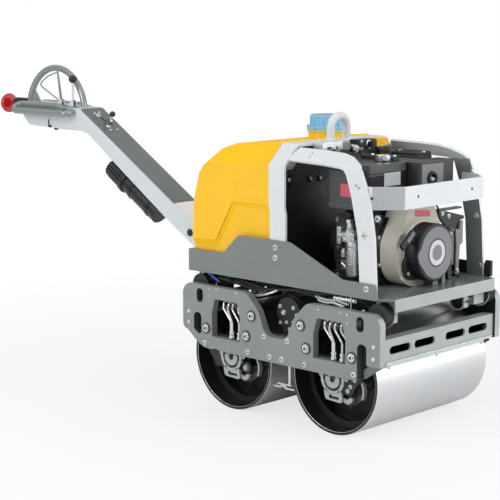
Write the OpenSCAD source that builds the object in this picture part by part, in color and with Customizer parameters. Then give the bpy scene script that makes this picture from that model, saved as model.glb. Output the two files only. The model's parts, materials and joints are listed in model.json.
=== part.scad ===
// Walk behind vibratory roller. Two smooth drums carry a vibrating lower frame, rubber
// buffers carry the upper frame with engine and water tank, and a hinged drawbar steers it.
// The origin lies on the floor midway between the drums, +X points to the engine end.

/* [Drums] */
// Width of each drum
drum_w = 650; // [560:10:740]
// Diameter of each drum
drum_d = 400; // [380:5:420]
// Thickness of the drum shell
drum_wall = 12; // [8:1:14]
// Gap between the two drums
drum_gap = 106; // [96:2:140]
// Distance from the middle of the drum to its inner discs
disc_y = 163; // [140:1:175]
// Thickness of the inner discs and of their flanges
disc_t = 12; // [8:1:14]
// Diameter of the axle journals
axle_d = 60; // [50:2:66]

/* [Lower frame] */
// Thickness of the side plates
plate_t = 29; // [24:1:34]
// Gap between a drum end and the side plate
plate_gap = 4; // [3:0.5:8]
// Thickness of the drum carriers
carrier_t = 20; // [14:1:22]
// Height of the cross members
cross_h = 80; // [70:1:84]
// Thickness of the sheet in the cross members and the centre beam
frame_sheet = 8; // [5:1:9]
// Gap between a scraper and its drum
scraper_gap = 1.6; // [1:0.1:4]
// Outer diameter of the exciter housing
exciter_d = 100; // [96:1:104]
// Diameter of the rubber buffers
buffer_d = 96; // [80:2:100]
// Length of the rubber buffers
buffer_len = 52; // [40:1:60]

/* [Upper frame] */
// Height of the deck above the side plates
deck_rise = 42; // [40:1:60]
// Thickness of the deck
deck_t = 8; // [6:1:10]
// How far the deck reaches past the front cross member
deck_front = 26; // [21:1:36]
// How far the deck reaches past the rear cross member
deck_rear = 6; // [4:1:12]
// Thickness of the side panels
panel_t = 5; // [3:0.5:6]
// Height of the side panels beside the engine bay
panel_h = 163; // [150:1:175]
// Height of the guard hoop above the deck
hoop_h = 505; // [500:1:530]
// Width of the flat bar of the guard hoop
hoop_w = 77; // [70:1:80]
// Thickness of the flat bar of the guard hoop
hoop_t = 12; // [8:1:14]
// Diameter of the bar of the lifting eye
eye_d = 31; // [24:1:34]
// Thickness of the front guards
guard_t = 10; // [8:1:12]
// Height of the bumper bar
bumper_h = 80; // [60:1:90]
// Thickness of the bumper bar
bumper_t = 8; // [6:1:10]

/* [Tanks] */
// Height of the water tank at its front
tank_h = 434; // [430:1:440]
// Wall of the water tank
tank_wall = 6; // [4:0.5:8]
// Depth of the recess in the sides of the water tank
recess_depth = 12; // [6:1:14]
// Diameter of the filler neck of the water tank
neck_d = 156; // [140:2:160]
// Diameter of the top of the water tank cap
cap_d = 140; // [130:2:144]

/* [Engine] */
// Height of the crankshaft above the deck
shaft_h = 125; // [122:1:132]
// Diameter of the crankshaft
crank_d = 40; // [30:1:44]
// Diameter of the recoil starter housing
recoil_d = 210; // [190:2:220]
// Length of the fuel tank
fuel_len = 193; // [180:1:200]
// Width of the fuel tank
fuel_w = 220; // [200:2:230]
// Height of the fuel tank
fuel_h = 162; // [150:1:170]
// Wall of the sheet shells on the engine
shell_t = 4; // [3:0.5:5]

/* [Drawbar] */
// Distance of the drawbar pivot below the deck
pivot_drop = 25; // [17:1:32]
// Distance of the drawbar pivot from the rear end of the deck
pivot_back = 77; // [74:1:90]
// Rise of the drawbar in degrees
bar_deg = 31.63; // [28:0.01:36]
// Length of the drawbar from the pivot to the bend
bar_len = 1064; // [1000:4:1120]
// Width of the drawbar
bar_w = 121.2; // [110:0.2:130]
// Wall of the drawbar and its head
bar_wall = 6; // [4:0.5:7]
// Length of the head
head_len = 427; // [410:1:450]
// Height of the front end of the head
head_h = 107; // [100:1:115]
// Diameter of the pivot pin
pin_d = 30; // [24:1:32]
// Outer radius of the head hoop
ring_r = 211; // [205:1:220]
// Diameter of the tube of the head hoop
ring_tube = 28; // [22:1:30]
// Diameter of the hand rails
rail_d = 18; // [14:1:22]
// Distance of the hand rails from the middle
rail_y = 120; // [105:1:130]
// Diameter of the document tube
doc_d = 90; // [80:1:96]
// Diameter of the stop button
button_d = 88; // [70:2:100]
// Travel of the stop button
button_travel = 20; // [10:1:24]

/* [Hidden] */

// Clearances and overrun
run_gap = 0.05;
part_gap = 0.3;
over = 1;
arc_steps = 8;
$fn = 64;

// Main places
drum_r = drum_d / 2;
axle_x = (drum_d + drum_gap) / 2;
axle_r = axle_d / 2;
y_in = drum_w / 2 + plate_gap;
y_out = y_in + plate_t;
plate_top = drum_r + 0.675 * drum_d;
deck_low = plate_top + deck_rise;
deck_top = deck_low + deck_t;
cross_x = axle_x + 0.56 * drum_d;
deck_x1 = cross_x + deck_front;
deck_x0 = -cross_x - deck_rear;
panel_back = 2;
panel_out = y_in - panel_back;
panel_in = panel_out - panel_t;

// A box between two corners
module box(low, high) {
    translate(low)
        cube(high - low);
}

// A cylinder along Y from y0 to y1 at [x, z]
module rod_y(r, y0, y1, at) {
    translate([at[0], y1, at[1]])
        rotate([90, 0, 0])
            cylinder(r = r, h = y1 - y0);
}

// A cylinder along X from x0 to x1 at [y, z]
module rod_x(r, x0, x1, at) {
    translate([x0, at[0], at[1]])
        rotate([0, 90, 0])
            cylinder(r = r, h = x1 - x0);
}

// A cylinder along Z from z0 to z1 at [x, y]
module rod_z(r, z0, z1, at) {
    translate([at[0], at[1], z0])
        cylinder(r = r, h = z1 - z0);
}

// An outline in X and Z, drawn out along Y
module slab_y(points, y0, y1) {
    translate([0, y1, 0])
        rotate([90, 0, 0])
            linear_extrude(y1 - y0)
                polygon(points);
}

// An outline in Y and Z, drawn out along X
module slab_x(points, x0, x1) {
    translate([x0, 0, 0])
        rotate([90, 0, 90])
            linear_extrude(x1 - x0)
                polygon(points);
}

// An outline in X and Y, drawn out along Z
module slab_z(points, z0, z1) {
    translate([0, 0, z0])
        linear_extrude(z1 - z0)
            polygon(points);
}

// The right side as drawn and its mirror image on the left
module both_sides() {
    children();
    mirror([0, 1, 0])
        children();
}

// The front end as drawn and its mirror image at the rear
module both_ends() {
    children();
    mirror([1, 0, 0])
        children();
}

// A bent tube or bar through points, each run drawn past its corners by a share of the radius
module bent_rod(points, r, sides = 12) {
    for (i = [0:len(points) - 2]) {
        run = points[i + 1] - points[i];
        before = i == 0 ? 0 : 0.5 * r;
        after = i == len(points) - 2 ? 0 : 0.5 * r;
        translate(points[i])
            rotate([0, acos(run[2] / norm(run)), atan2(run[1], run[0])])
                translate([0, 0, -before])
                    cylinder(r = r, h = norm(run) + before + after, $fn = sides);
    }
}

function unit(v) = v / norm(v);

// The arc that rounds corner b between its neighbours a and c
function corner_arc(a, b, c, r) =
    r == 0 ? [b] :
    let (
        u = unit(a - b),
        v = unit(c - b),
        half = acos(u * v) / 2,
        reach = r / tan(half),
        middle = b + unit(u + v) * r / sin(half),
        first = b + u * reach - middle,
        start = atan2(first[1], first[0]),
        sweep = -sign(cross(u, v)) * (180 - 2 * half)
    )
    [for (i = [0:arc_steps])
        let (turn = start + sweep * i / arc_steps)
        middle + r * [cos(turn), sin(turn)]];

// Outline points from corners given as [x, z, radius]
function rounded(corners) =
    let (n = len(corners), flat = [for (c = corners) [c[0], c[1]]])
    [for (i = [0:n - 1]) each corner_arc(flat[(i + n - 1) % n], flat[i], flat[(i + 1) % n], corners[i][2])];

// Corners from shares of a width, a height and a radius scale, counted from a place
function corners(shares, at, size) =
    [for (s = shares) [at[0] + s[0] * size[0], at[1] + s[1] * size[1], s[2] * size[1]]];

// A closed convex outline moved inwards by a wall
function inset(points, wall) =
    let (n = len(points), turn = sign(cross(points[1] - points[0], points[2] - points[1])))
    [for (i = [0:n - 1])
        let (
            u = unit(points[i] - points[(i + n - 1) % n]),
            v = unit(points[(i + 1) % n] - points[i]),
            side_u = turn * [-u[1], u[0]],
            side_v = turn * [-v[1], v[0]]
        )
        points[i] + wall * (side_u + side_v) / (1 + side_u * side_v)];

// An upright slot outline, or a lying one, around a centre
function slot(at, width, height) =
    let (w = width / 2, h = height / 2, r = 0.96 * min(w, h))
    rounded([[at[0] - w, at[1] - h, r], [at[0] + w, at[1] - h, r],
        [at[0] + w, at[1] + h, r], [at[0] - w, at[1] + h, r]]);

// Bolts on the side plates, as shares of the drum diameter from the axle or from the middle
axle_big_shares = [[-0.26, 0.2625], [0.2725, 0.2625]];
axle_small_shares = [[-0.2775, 0.1125], [0.295, 0.115]];
mid_big_shares = [[0.305, 0.4625]];
mid_small_shares = [[0.075, 0.1125], [0.145, 0.2925]];
tab_small_shares = [[0.5125, 0.395], [0.5125, 0.2875]];

function from_axle(shares) = [for (s = shares) [axle_x + s[0] * drum_d, drum_r + s[1] * drum_d]];
function from_middle(shares) = [for (s = shares) [s[0] * drum_d, drum_r + s[1] * drum_d]];

big_places = concat(from_axle(axle_big_shares), from_middle(mid_big_shares));
small_places = concat(from_axle(axle_small_shares), from_middle(mid_small_shares),
    from_axle(tab_small_shares));
big_r = 10;
small_r = 5;
bolt_grip = 8;
washer_t = 3;
big_head = 11;
small_head = 6;

// Clearance holes of the frame bolts, drawn as pegs
module bolt_holes(y0, y1) {
    for (p = big_places)
        rod_y(big_r + part_gap, y0, y1, p);
    for (p = small_places)
        rod_y(small_r + part_gap, y0, y1, p);
}

// One bolt with a washer and a six-sided head, its head outwards at face
module bolt_y(r, head_h, face, reach, at) {
    rod_y(r, face, face + reach, at);
    rod_y(2.2 * r, face - washer_t, face, at);
    translate([at[0], face, at[1]])
        rotate([90, 0, 0])
            cylinder(r = 1.6 * r, h = head_h, $fn = 6);
}

panel_bolt_shares = [[0.8945, 0.227], [0.4625, 0.846], [0.4625, 0.601]];
panel_bolt_r = 4.5;

module bolts() color("silver") both_sides() {
    both_ends() {
        for (p = big_places)
            bolt_y(big_r, big_head, -y_out, plate_t + bolt_grip, p);
        for (p = small_places)
            bolt_y(small_r, small_head, -y_out, plate_t + bolt_grip, p);
    }
    for (s = panel_bolt_shares)
        bolt_y(panel_bolt_r, panel_bolt_r, -panel_out, panel_t,
            [deck_x0 + s[0] * (deck_x1 - deck_x0), deck_low + s[1] * panel_h]);
}

// Side plates
notch_shares = [[-0.375, 0.675, 0.1], [-0.225, 0.525, 0.15], [-0.13, 0.3, 0.11],
    [0.13, 0.3, 0.11], [0.225, 0.525, 0.15], [0.375, 0.675, 0.1]];
front_end_shares = [[0.585, 0.675, 0.11], [0.585, 0.2125, 0.025], [0.435, 0.2125, 0.025],
    [0.435, 0.3975, 0.045], [0.33, 0.3975, 0.045], [0.33, 0.0625, 0.025]];
rear_end_shares = [[0.06, 0.0625, 0.03], [0.16, 0.078, 0.03], [0.205, 0.065, 0.03], [0.3075, 0.07, 0.05],
    [0.4125, 0.125, 0.05], [0.53, 0.2175, 0.03], [0.57, 0.225, 0.03], [0.5925, 0.27, 0.02],
    [0.5925, 0.675, 0.11]];
rear_slot_shares = [[0.34, 0.1725, 0.03], [0.4425, 0.2325, 0.03], [0.4425, 0.4, 0.045], [0.34, 0.4, 0.045]];
window_shares = [[-0.1775, 0.19, 0.015], [0.1975, 0.19, 0.015], [0.1975, 0.4125, 0.04], [0.16, 0.5575, 0.03],
    [-0.1375, 0.5575, 0.03], [-0.1775, 0.4125, 0.04]];
slot_place_shares = [0.36, 0.57];
slot_w = 34;
slot_h = 54;

plate_outline = rounded(concat(
    corners(notch_shares, [0, drum_r], [drum_d, drum_d]),
    corners(front_end_shares, [axle_x, drum_r], [drum_d, drum_d]),
    corners(rear_end_shares, [-axle_x, drum_r], [-drum_d, drum_d])
        ));

module side_plate() color([0.57, 0.6, 0.58]) {
    slot_at = [axle_x, drum_r] + slot_place_shares * drum_d;
    y0 = -y_out - over;
    y1 = -y_in + over;
    difference() {
        slab_y(plate_outline, -y_out, -y_in);
        slab_y(rounded(corners(rear_slot_shares, [-axle_x, drum_r], [-drum_d, drum_d])), y0, y1);
        both_ends() {
            slab_y(rounded(corners(window_shares, [axle_x, drum_r], [drum_d, drum_d])), y0, y1);
            slab_y(slot(slot_at, slot_w, slot_h), y0, y1);
            bolt_holes(y0, y1);
        }
    }
}

// Cross members at both ends
cross_low = drum_r + 0.245 * drum_d;
cross_depth = 42;
cross_slot_w = 119;
cross_slot_h = 29;
cross_slot_shares = [-0.358, -0.141, 0.141, 0.358];

module cross_members() color([0.6, 0.62, 0.6]) both_ends() difference() {
    box([cross_x - cross_depth, -y_in, cross_low], [cross_x, y_in, cross_low + cross_h]);
    box([cross_x - cross_depth - over, -y_in + frame_sheet, cross_low + frame_sheet],
        [cross_x - frame_sheet, y_in - frame_sheet, cross_low + cross_h - frame_sheet]);
    for (s = cross_slot_shares)
        slab_x(slot([s * drum_w, cross_low + 0.475 * cross_h], cross_slot_w, cross_slot_h),
            cross_x - frame_sheet - over, cross_x + over);
    both_sides()
        bolt_holes(-y_in - over, -y_in + frame_sheet + over);
}

// Scrapers under the cross members, their edge just off the drum
scraper_deg = 23;
scraper_t = 5;
scraper_side = 11;

module scrapers() color("silver") both_ends() {
    tip = [axle_x, drum_r] + (drum_r + scraper_gap) * [cos(scraper_deg), sin(scraper_deg)];
    heel = cross_x + 1.4 * scraper_t;
    slab_y([tip, tip + [scraper_t, -scraper_t], [heel, cross_low - 1.6 * scraper_t], [heel, cross_low],
        [heel - 4 * scraper_t, cross_low]], -y_in + scraper_side, y_in - scraper_side);
}

// Sprinkler pipes above the drums
pipe_r = 10;
pipe_at = [axle_x + 0.1925 * drum_d, drum_r + 0.6 * drum_d];

module sprinkler_pipes() color("dimgray") both_ends()
    rod_y(pipe_r, -y_in, y_in, pipe_at);

// Centre beam with an end flange on each side plate
beam_clear = 8;
beam_half = drum_gap / 2 - beam_clear;
beam_low = drum_r + 0.095 * drum_d;
beam_top = drum_r + 0.295 * drum_d;
flange_t = 10;
flange_shares = [[0.18, 0.265, 0.005], [0.24, 0.35, 0.005], [0.3325, 0.43, 0.02], [0.34, 0.49, 0.02],
    [0.275, 0.51, 0.02], [0.21, 0.445, 0.01], [0.155, 0.3125, 0.02]];

module beam_flange() {
    slab_y(rounded(concat(
        [[-beam_half, beam_low, 0], [beam_half, beam_low, 0]],
        corners(flange_shares, [0, drum_r], [drum_d, drum_d]),
        [for (i = [len(flange_shares) - 1:-1:0])
            let (s = flange_shares[i])
            [-s[0] * drum_d, drum_r + s[1] * drum_d, s[2] * drum_d]]
            )), -y_in, -y_in + flange_t);
}

module centre_beam() color("dimgray") difference() {
    union() {
        box([-beam_half, -y_in, beam_low], [beam_half, y_in, beam_top]);
        both_sides()
            beam_flange();
    }
    box([-beam_half + frame_sheet, -y_in - over, beam_low + frame_sheet],
        [beam_half - frame_sheet, y_in + over, beam_top - frame_sheet]);
    both_sides() both_ends()
        bolt_holes(-y_in - over, -y_in + flange_t + over);
}

// Exciter on the centre beam
exciter_r = exciter_d / 2;
exciter_z = drum_r + 0.5125 * drum_d;
exciter_side = 47;
exciter_wall = 8;
exciter_lip = 7;
exciter_half = y_in - exciter_side;
exciter_bore = exciter_r - exciter_wall;
exciter_flange = exciter_r + exciter_lip;
exciter_foot = 20;
exciter_foot_y = 200;
shaft_r = 15;
weight_gap = 4;
weight_r = exciter_bore - weight_gap;
cover_t = 8;
cover_low_r = 30;
cover_low = exciter_z - beam_top - cover_low_r - part_gap;
bearing_w = 22;
bearing_inset = 14;

module exciter_housing() color("dimgray") {
    difference() {
        union() {
            rod_y(exciter_r, -exciter_half, exciter_half, [0, exciter_z]);
            both_sides() {
                rod_y(exciter_flange, -exciter_half, -exciter_half + flange_t, [0, exciter_z]);
                box([-0.8 * exciter_r, -exciter_foot_y - exciter_foot, beam_top],
                    [0.8 * exciter_r, -exciter_foot_y, exciter_z]);
            }
        }
        rod_y(exciter_bore, -exciter_half - over, exciter_half + over, [0, exciter_z]);
    }
}

module cover_outline_y(y0, y1) {
    translate([0, y1, 0])
        rotate([90, 0, 0])
            linear_extrude(y1 - y0)
                union() {
                    translate([0, exciter_z])
                        circle(r = exciter_flange);
                    translate([0, exciter_z - cover_low])
                        circle(r = cover_low_r);
                    polygon([[-exciter_flange * 0.97, exciter_z - 0.25 * exciter_flange],
                        [exciter_flange * 0.97, exciter_z - 0.25 * exciter_flange],
                        [cover_low_r * 0.97, exciter_z - cover_low - 0.25 * cover_low_r],
                        [-cover_low_r * 0.97, exciter_z - cover_low - 0.25 * cover_low_r]]);
                }
}

module exciter_covers() color([0.1, 0.1, 0.1]) {
    cover_outline_y(-exciter_half - cover_t, -exciter_half);
    difference() {
        cover_outline_y(exciter_half, exciter_half + cover_t);
        rod_y(shaft_r + run_gap, exciter_half - over, exciter_half + cover_t + over, [0, exciter_z]);
    }
}

motor_reach = 34;

module exciter_motor() color("gray") {
    y0 = exciter_half + cover_t;
    difference() {
        union() {
            rod_y(0.7 * exciter_r, y0, y0 + motor_reach, [0, exciter_z]);
            rod_y(0.9 * exciter_r, y0, y0 + cover_t, [0, exciter_z]);
        }
        rod_y(shaft_r + run_gap, y0 - over, y0 + motor_reach / 2, [0, exciter_z]);
    }
}

module exciter_shaft() color("silver") {
    y1 = exciter_half + cover_t + motor_reach / 2 - part_gap;
    rod_y(shaft_r, -exciter_half + part_gap, y1, [0, exciter_z]);
    both_sides() intersection() {
        rod_y(weight_r, -0.8 * exciter_half, -0.4 * exciter_half, [0, exciter_z]);
        box([-weight_r, -exciter_half, exciter_z - weight_r], [weight_r, 0, exciter_z]);
    }
}

// Drum carriers, bolted inside the side plates and reaching into the drum ends
carrier_shares = [[-0.325, 0.28, 0.04], [-0.195, 0.28, 0.02], [-0.175, 0.2125, 0.02], [0.1875, 0.2125, 0.02],
    [0.2075, 0.28, 0.02], [0.3375, 0.28, 0.04], [0.35, 0.075, 0.05], [0.25, -0.0375, 0.05],
    [0.2125, -0.1125, 0.04], [0.125, -0.1, 0.02], [0.105, -0.185, 0.02], [-0.1, -0.185, 0.02],
    [-0.1125, -0.075, 0.05], [-0.145, 0.0275, 0.05], [-0.3375, 0.075, 0.05]];
lug_slot_shares = [-0.0025, -0.1425];
lug_slot_w = 26;
lug_slot_h = 9;
ring_groove_r = 43;
ring_groove_w = 7;
ring_groove_depth = 5;

module drum_carriers() color([0.55, 0.57, 0.56]) both_sides() both_ends() difference() {
    slab_y(rounded(corners(carrier_shares, [axle_x, drum_r], [drum_d, drum_d])), -y_in, -y_in + carrier_t);
    slab_y(slot([axle_x, drum_r] + lug_slot_shares * drum_d, lug_slot_w, lug_slot_h),
        -y_in - over, -y_in + carrier_t + over);
    difference() {
        rod_y(ring_groove_r, -y_in - over, -y_in + ring_groove_depth, [axle_x, drum_r]);
        rod_y(ring_groove_r - ring_groove_w, -y_in - 2 * over, -y_in + 2 * ring_groove_depth,
            [axle_x, drum_r]);
    }
    bolt_holes(-y_in - over, -y_in + carrier_t + over);
}

// Drive motors on the right and bearing hubs on the left hold the axles
hub_y = y_in - carrier_t;
motor_r = 52;
motor_flange_r = 75;
motor_end = 205;
hub_end = 215;
stub_end = 245;
exciter_bearing_y = exciter_half - bearing_inset - bearing_w;

module drive_motors() color([0.15, 0.15, 0.16]) both_ends() difference() {
    union() {
        rod_y(motor_flange_r, -hub_y, -hub_y + flange_t, [axle_x, drum_r]);
        rod_y(motor_r, -hub_y, -motor_end, [axle_x, drum_r]);
    }
    rod_y(axle_r + run_gap, -stub_end - part_gap, -motor_end + over, [axle_x, drum_r]);
}

module bearings() color("gray") {
    both_ends() difference() {
        union() {
            rod_y(motor_flange_r, hub_y - flange_t, hub_y, [axle_x, drum_r]);
            rod_y(motor_r, hub_end, hub_y, [axle_x, drum_r]);
        }
        rod_y(axle_r + run_gap, hub_end - over, hub_y - flange_t, [axle_x, drum_r]);
    }
    y0 = -exciter_bearing_y - bearing_w;
    both_sides() difference() {
        rod_y(exciter_bore, y0, y0 + bearing_w, [0, exciter_z]);
        rod_y(shaft_r + run_gap, y0 - over, y0 + bearing_w + over, [0, exciter_z]);
    }
}

module drum() difference() {
    union() {
        difference() {
            rod_y(drum_r, -drum_w / 2, drum_w / 2, [axle_x, drum_r], $fn = 96);
            rod_y(drum_r - drum_wall, -drum_w / 2 - over, drum_w / 2 + over, [axle_x, drum_r], $fn = 96);
        }
        both_sides()
            rod_y(drum_r - drum_wall, -disc_y - disc_t, -disc_y, [axle_x, drum_r], $fn = 96);
    }
    rod_y(axle_r + part_gap, -drum_w, drum_w, [axle_x, drum_r]);
}

axle_flange_r = 70;

module axle() {
    rod_y(axle_r, -stub_end, hub_y - flange_t - part_gap, [axle_x, drum_r]);
    both_sides()
        rod_y(axle_flange_r, -disc_y - 2 * disc_t, -disc_y - disc_t, [axle_x, drum_r]);
}

module front_drum() color([0.8, 0.81, 0.82])
    drum();

module rear_drum() color([0.8, 0.81, 0.82]) mirror([1, 0, 0])
    drum();

module front_axle() color("dimgray")
    axle();

module rear_axle() color("dimgray") mirror([1, 0, 0])
    axle();

// Hydraulic pipes from the deck through the windows to the drum carriers
line_r = 5;
nut_r = 9;
nut_h = 26;
line_top_shares = [-0.02, 0.04];
line_low_shares = [0.03, 0.125];
line_over = 14;
line_y = y_in + plate_t / 2;
line_low = drum_r + 0.2125 * drum_d;
line_drop = 0.4 * drum_d;

module drive_line(top, low) {
    over_drum = drum_d + line_over;
    end = [axle_x + low * drum_d, -y_in + carrier_t / 2, line_low];
    bent_rod([[axle_x + top * drum_d, -y_in + 4 * carrier_t, deck_low],
        [axle_x + top * drum_d, -y_in + 4 * carrier_t, over_drum],
        [axle_x + top * drum_d, -line_y, over_drum - line_over / 2],
        [axle_x + (top + low) / 2 * drum_d, -line_y, drum_r + line_drop],
        end + [0, 0, nut_h], end], line_r);
    translate(end)
        cylinder(r = nut_r, h = nut_h, $fn = 6);
}

module drive_pipes() color("gray")
    for (shift = [0, -2 * axle_x])
        translate([shift, 0, 0])
            for (i = [0, 1])
                drive_line(line_top_shares[i], line_low_shares[i]);

// Rubber buffers between the side plates and brackets under the deck
buffer_drop = 12;
buffer_at = [axle_x + 0.4675 * drum_d, plate_top - buffer_drop];
bracket_y = y_in - buffer_len;
bracket_t = 12;
bracket_half = 30;
bracket_web = 8;
bracket_w = 36;

module rubber_mounts() color([0.08, 0.08, 0.08]) both_sides() both_ends()
    rod_y(buffer_d / 2, -y_in, -bracket_y, buffer_at);

module mount_brackets() color([0.75, 0.77, 0.76]) both_sides() both_ends() {
    box([buffer_at[0] - bracket_half, -bracket_y, buffer_at[1] - bracket_half],
        [buffer_at[0] + bracket_half, -bracket_y + bracket_t, deck_low]);
    box([buffer_at[0] + bracket_half - bracket_web, -bracket_y, buffer_at[1] - bracket_half],
        [buffer_at[0] + bracket_half, -bracket_y + bracket_w, deck_low]);
}

// Hydraulic filter under the deck at the front left
filter_r = 35;
filter_len = 114;
filter_head = 36;

module hydraulic_filter() color([0.12, 0.12, 0.13]) {
    y1 = bracket_y - bracket_w - 4 * part_gap;
    z = deck_low - 2 * filter_r;
    rod_y(filter_r, y1 - filter_len, y1, [buffer_at[0], z]);
    box([buffer_at[0] - 0.7 * filter_r, y1 - filter_head - bracket_t, z],
        [buffer_at[0] + 0.7 * filter_r, y1 - bracket_t, deck_low]);
}

// Deck with folded ends
nose_depth = 53;
nose_side = 26;
fascia_h = 37;
fold_side = panel_in - nose_side;
tail_side = bracket_y - panel_t;
tail_t = panel_t + deck_t;

module deck() color([0.35, 0.38, 0.37]) {
    x0 = deck_x0 - panel_t;
    slab_z([[deck_x0, -panel_in], [deck_x1 - nose_depth, -panel_in], [deck_x1, -fold_side],
        [deck_x1, fold_side], [deck_x1 - nose_depth, panel_in], [deck_x0, panel_in]],
        deck_low, deck_top);
    box([deck_x1 - deck_t, -fold_side, deck_low - fascia_h], [deck_x1, fold_side, deck_low]);
    box([x0, -tail_side, deck_low - fascia_h], [x0 + tail_t, tail_side, deck_low]);
}

// Side panels, folded round the rear corner, with a ledge for the water tank
panel_shares = [[0, 0, 0], [0.9462, 0, 0.02], [0.935, 0.344, 0.06], [0.782, 0.344, 0.2], [0.53, 1, 0.2],
    [0.267, 1, 0.2], [0.183, 0.522, 0.2], [0, 0.522, 0]];
panel_size = [deck_x1 - deck_x0, panel_h];
tank_low = deck_low + 0.516 * panel_h;
ledge_w = 32;
ledge_end_share = 0.17;
panel_holes_r = panel_bolt_r + part_gap;

module side_panel() color([0.59, 0.61, 0.6]) {
    difference() {
        slab_y(rounded(corners(panel_shares, [deck_x0, deck_low], panel_size)), -panel_out, -panel_in);
        for (s = panel_bolt_shares)
            rod_y(panel_holes_r, -panel_out - over, -panel_in + over,
                [deck_x0 + s[0] * panel_size[0], deck_low + s[1] * panel_h]);
    }
    box([deck_x0 - panel_t, -panel_out, deck_low], [deck_x0, -part_gap, tank_low]);
    box([deck_x0, -panel_in, tank_low - panel_t],
        [deck_x0 + ledge_end_share * panel_size[0], -panel_in + ledge_w, tank_low]);
}

// Guard hoop of flat bar, with a joggle outwards above the panels
hoop_x = -65;
hoop_front = hoop_x + hoop_w;
hoop_top = deck_top + hoop_h;
joggle_shares = [0.495, 0.555];
joggle = 7;
hoop_slope = 75;

function hoop_half(t) = [
    [-panel_in + t, deck_top],
    [-panel_in + t, deck_top + joggle_shares[0] * hoop_h],
    [-panel_in - joggle + t, deck_top + joggle_shares[1] * hoop_h],
    [-panel_in - joggle + t, hoop_top - hoop_slope - 0.4 * t],
    [-panel_in - joggle + hoop_slope + 0.4 * t, hoop_top - t]
];
function hoop_line(t) = let (half = hoop_half(t))
    concat(half, [for (i = [len(half) - 1:-1:0]) [-half[i][0], half[i][1]]]);

module guard_hoop() color([0.92, 0.93, 0.94])
    slab_x(concat(hoop_line(0), [for (i = [len(hoop_line(0)) - 1:-1:0]) hoop_line(hoop_t)[i]]),
        hoop_x, hoop_front);

// Lifting eye of bent round bar on the hoop
eye_r = 46;
eye_x = hoop_x + 0.7 * hoop_w;
eye_leg = 42;

module lifting_eye() color([0.85, 0.86, 0.87]) {
    both_sides()
        rod_z(eye_d / 2, hoop_top, hoop_top + eye_leg, [eye_x, -eye_r]);
    translate([eye_x, 0, hoop_top + eye_leg])
        rotate([90, 0, 90])
            rotate_extrude(angle = 180)
                translate([eye_r, 0])
                    circle(r = eye_d / 2);
}

// Front guards: a post on the deck whose upper end is folded inwards into a rail
post_back = 67;
post_front = deck_x1 - post_back;
post_h = 437;
rail_span = post_front - hoop_front;
crease_z = deck_top + post_h;
post_shares = [[0.836, 0, 0], [0.826, 0.115, 0.02], [0.802, 0.48, 0.2], [0.73, 0.79, 0.2],
    [0.672, 0.955, 0.03], [0.636, 1, 0], [0.833, 1, 0], [0.919, 0.79, 0.3], [0.978, 0.48, 0.2],
    [1, 0.115, 0.02], [1, 0, 0]];
rail_shares = [[0.636, 0, 0], [0.58, 0.08, 0], [0.38, 0.17, 0], [0, 0.25, 0], [0, 0.45, 0], [0.047, 1, 0],
    [0.37, 0.95, 0], [0.57, 0.87, 0.3], [0.68, 0.7, 0.3], [0.79, 0.33, 0.2], [0.833, 0, 0]];
rail_h = 82;
fold_deg = 45;

module front_guards() color([0.92, 0.93, 0.94]) both_sides() {
    post = rounded(corners(post_shares, [hoop_front, deck_top], [rail_span, post_h]));
    rail = rounded(corners(rail_shares, [hoop_front, 0], [rail_span, rail_h]));
    slab_y(post, -panel_in, -panel_in + guard_t);
    translate([0, -panel_in, crease_z])
        rotate([-fold_deg, 0, 0])
            slab_y(rail, 0, guard_t);
}

// Bumper bar between the posts
bumper_back = 16;
bumper_rise = 303;
bumper_x = deck_x1 - bumper_back;
bumper_z = deck_top + bumper_rise;
bumper_y = panel_in - guard_t;
bumper_bend = 81;
bumper_lap = 70;
bumper_hole_r = 5;
bumper_hole_y = 70;

function bumper_half(t) = [[bumper_x - bumper_bend - bumper_lap, -bumper_y + t],
    [bumper_x - bumper_bend - 0.4 * t, -bumper_y + t], [bumper_x - t, -bumper_y + bumper_bend + 0.4 * t]];
function bumper_line(t) = let (half = bumper_half(t))
    concat(half, [for (i = [len(half) - 1:-1:0]) [half[i][0], -half[i][1]]]);

module bumper_bar() color([0.92, 0.93, 0.94]) difference() {
    slab_z(concat(bumper_line(0), [for (i = [len(bumper_line(0)) - 1:-1:0]) bumper_line(bumper_t)[i]]),
        bumper_z, bumper_z + bumper_h);
    for (i = [-1:1])
        rod_x(bumper_hole_r, bumper_x - bumper_t - over, bumper_x + over,
            [i * bumper_hole_y, bumper_z + bumper_h / 2]);
}

// Water tank
tank_back = 4;
tank_side = 6;
tank_x1 = hoop_x - over;
tank_x0 = deck_x0 + tank_back;
tank_len = tank_x1 - tank_x0;
tank_y = panel_in - tank_side;
tank_shares = [[0, 0, 0.03], [0.027, 0.445, 0.3], [0.094, 0.68, 0.15], [0.27, 0.9, 0.12], [0.43, 0.953, 0.2],
    [1, 1, 0.03], [1, 0, 0.03]];
tank_tilt = 6.4;
tank_shoulder = 66;
tank_shoulder_z = tank_low + tank_h - tank_shoulder;
recess_shares = [[1.05, -0.05, 0], [1.05, 0.47, 0], [0.525, 0.465, 0.06], [0.31, 0.105, 0.05],
    [-0.05, 0.09, 0], [-0.05, -0.05, 0]];
neck_shares = [0.785, 0.34];
neck_at = [tank_x0 + neck_shares[0] * tank_len, neck_shares[1] * tank_y];
neck_rise = 22;
neck_top = tank_low + tank_h + neck_rise;
neck_wall = 16;
neck_ring = 4;

tank_profile = rounded(corners(tank_shares, [tank_x0, tank_low], [tank_len, tank_h]));

// The shoulder outline in Y and Z, cut off at 45 degrees
function tank_section(y, z) = [[-y, -z], [y, -z], [y, 0], [0, y], [-y, 0]];

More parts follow.
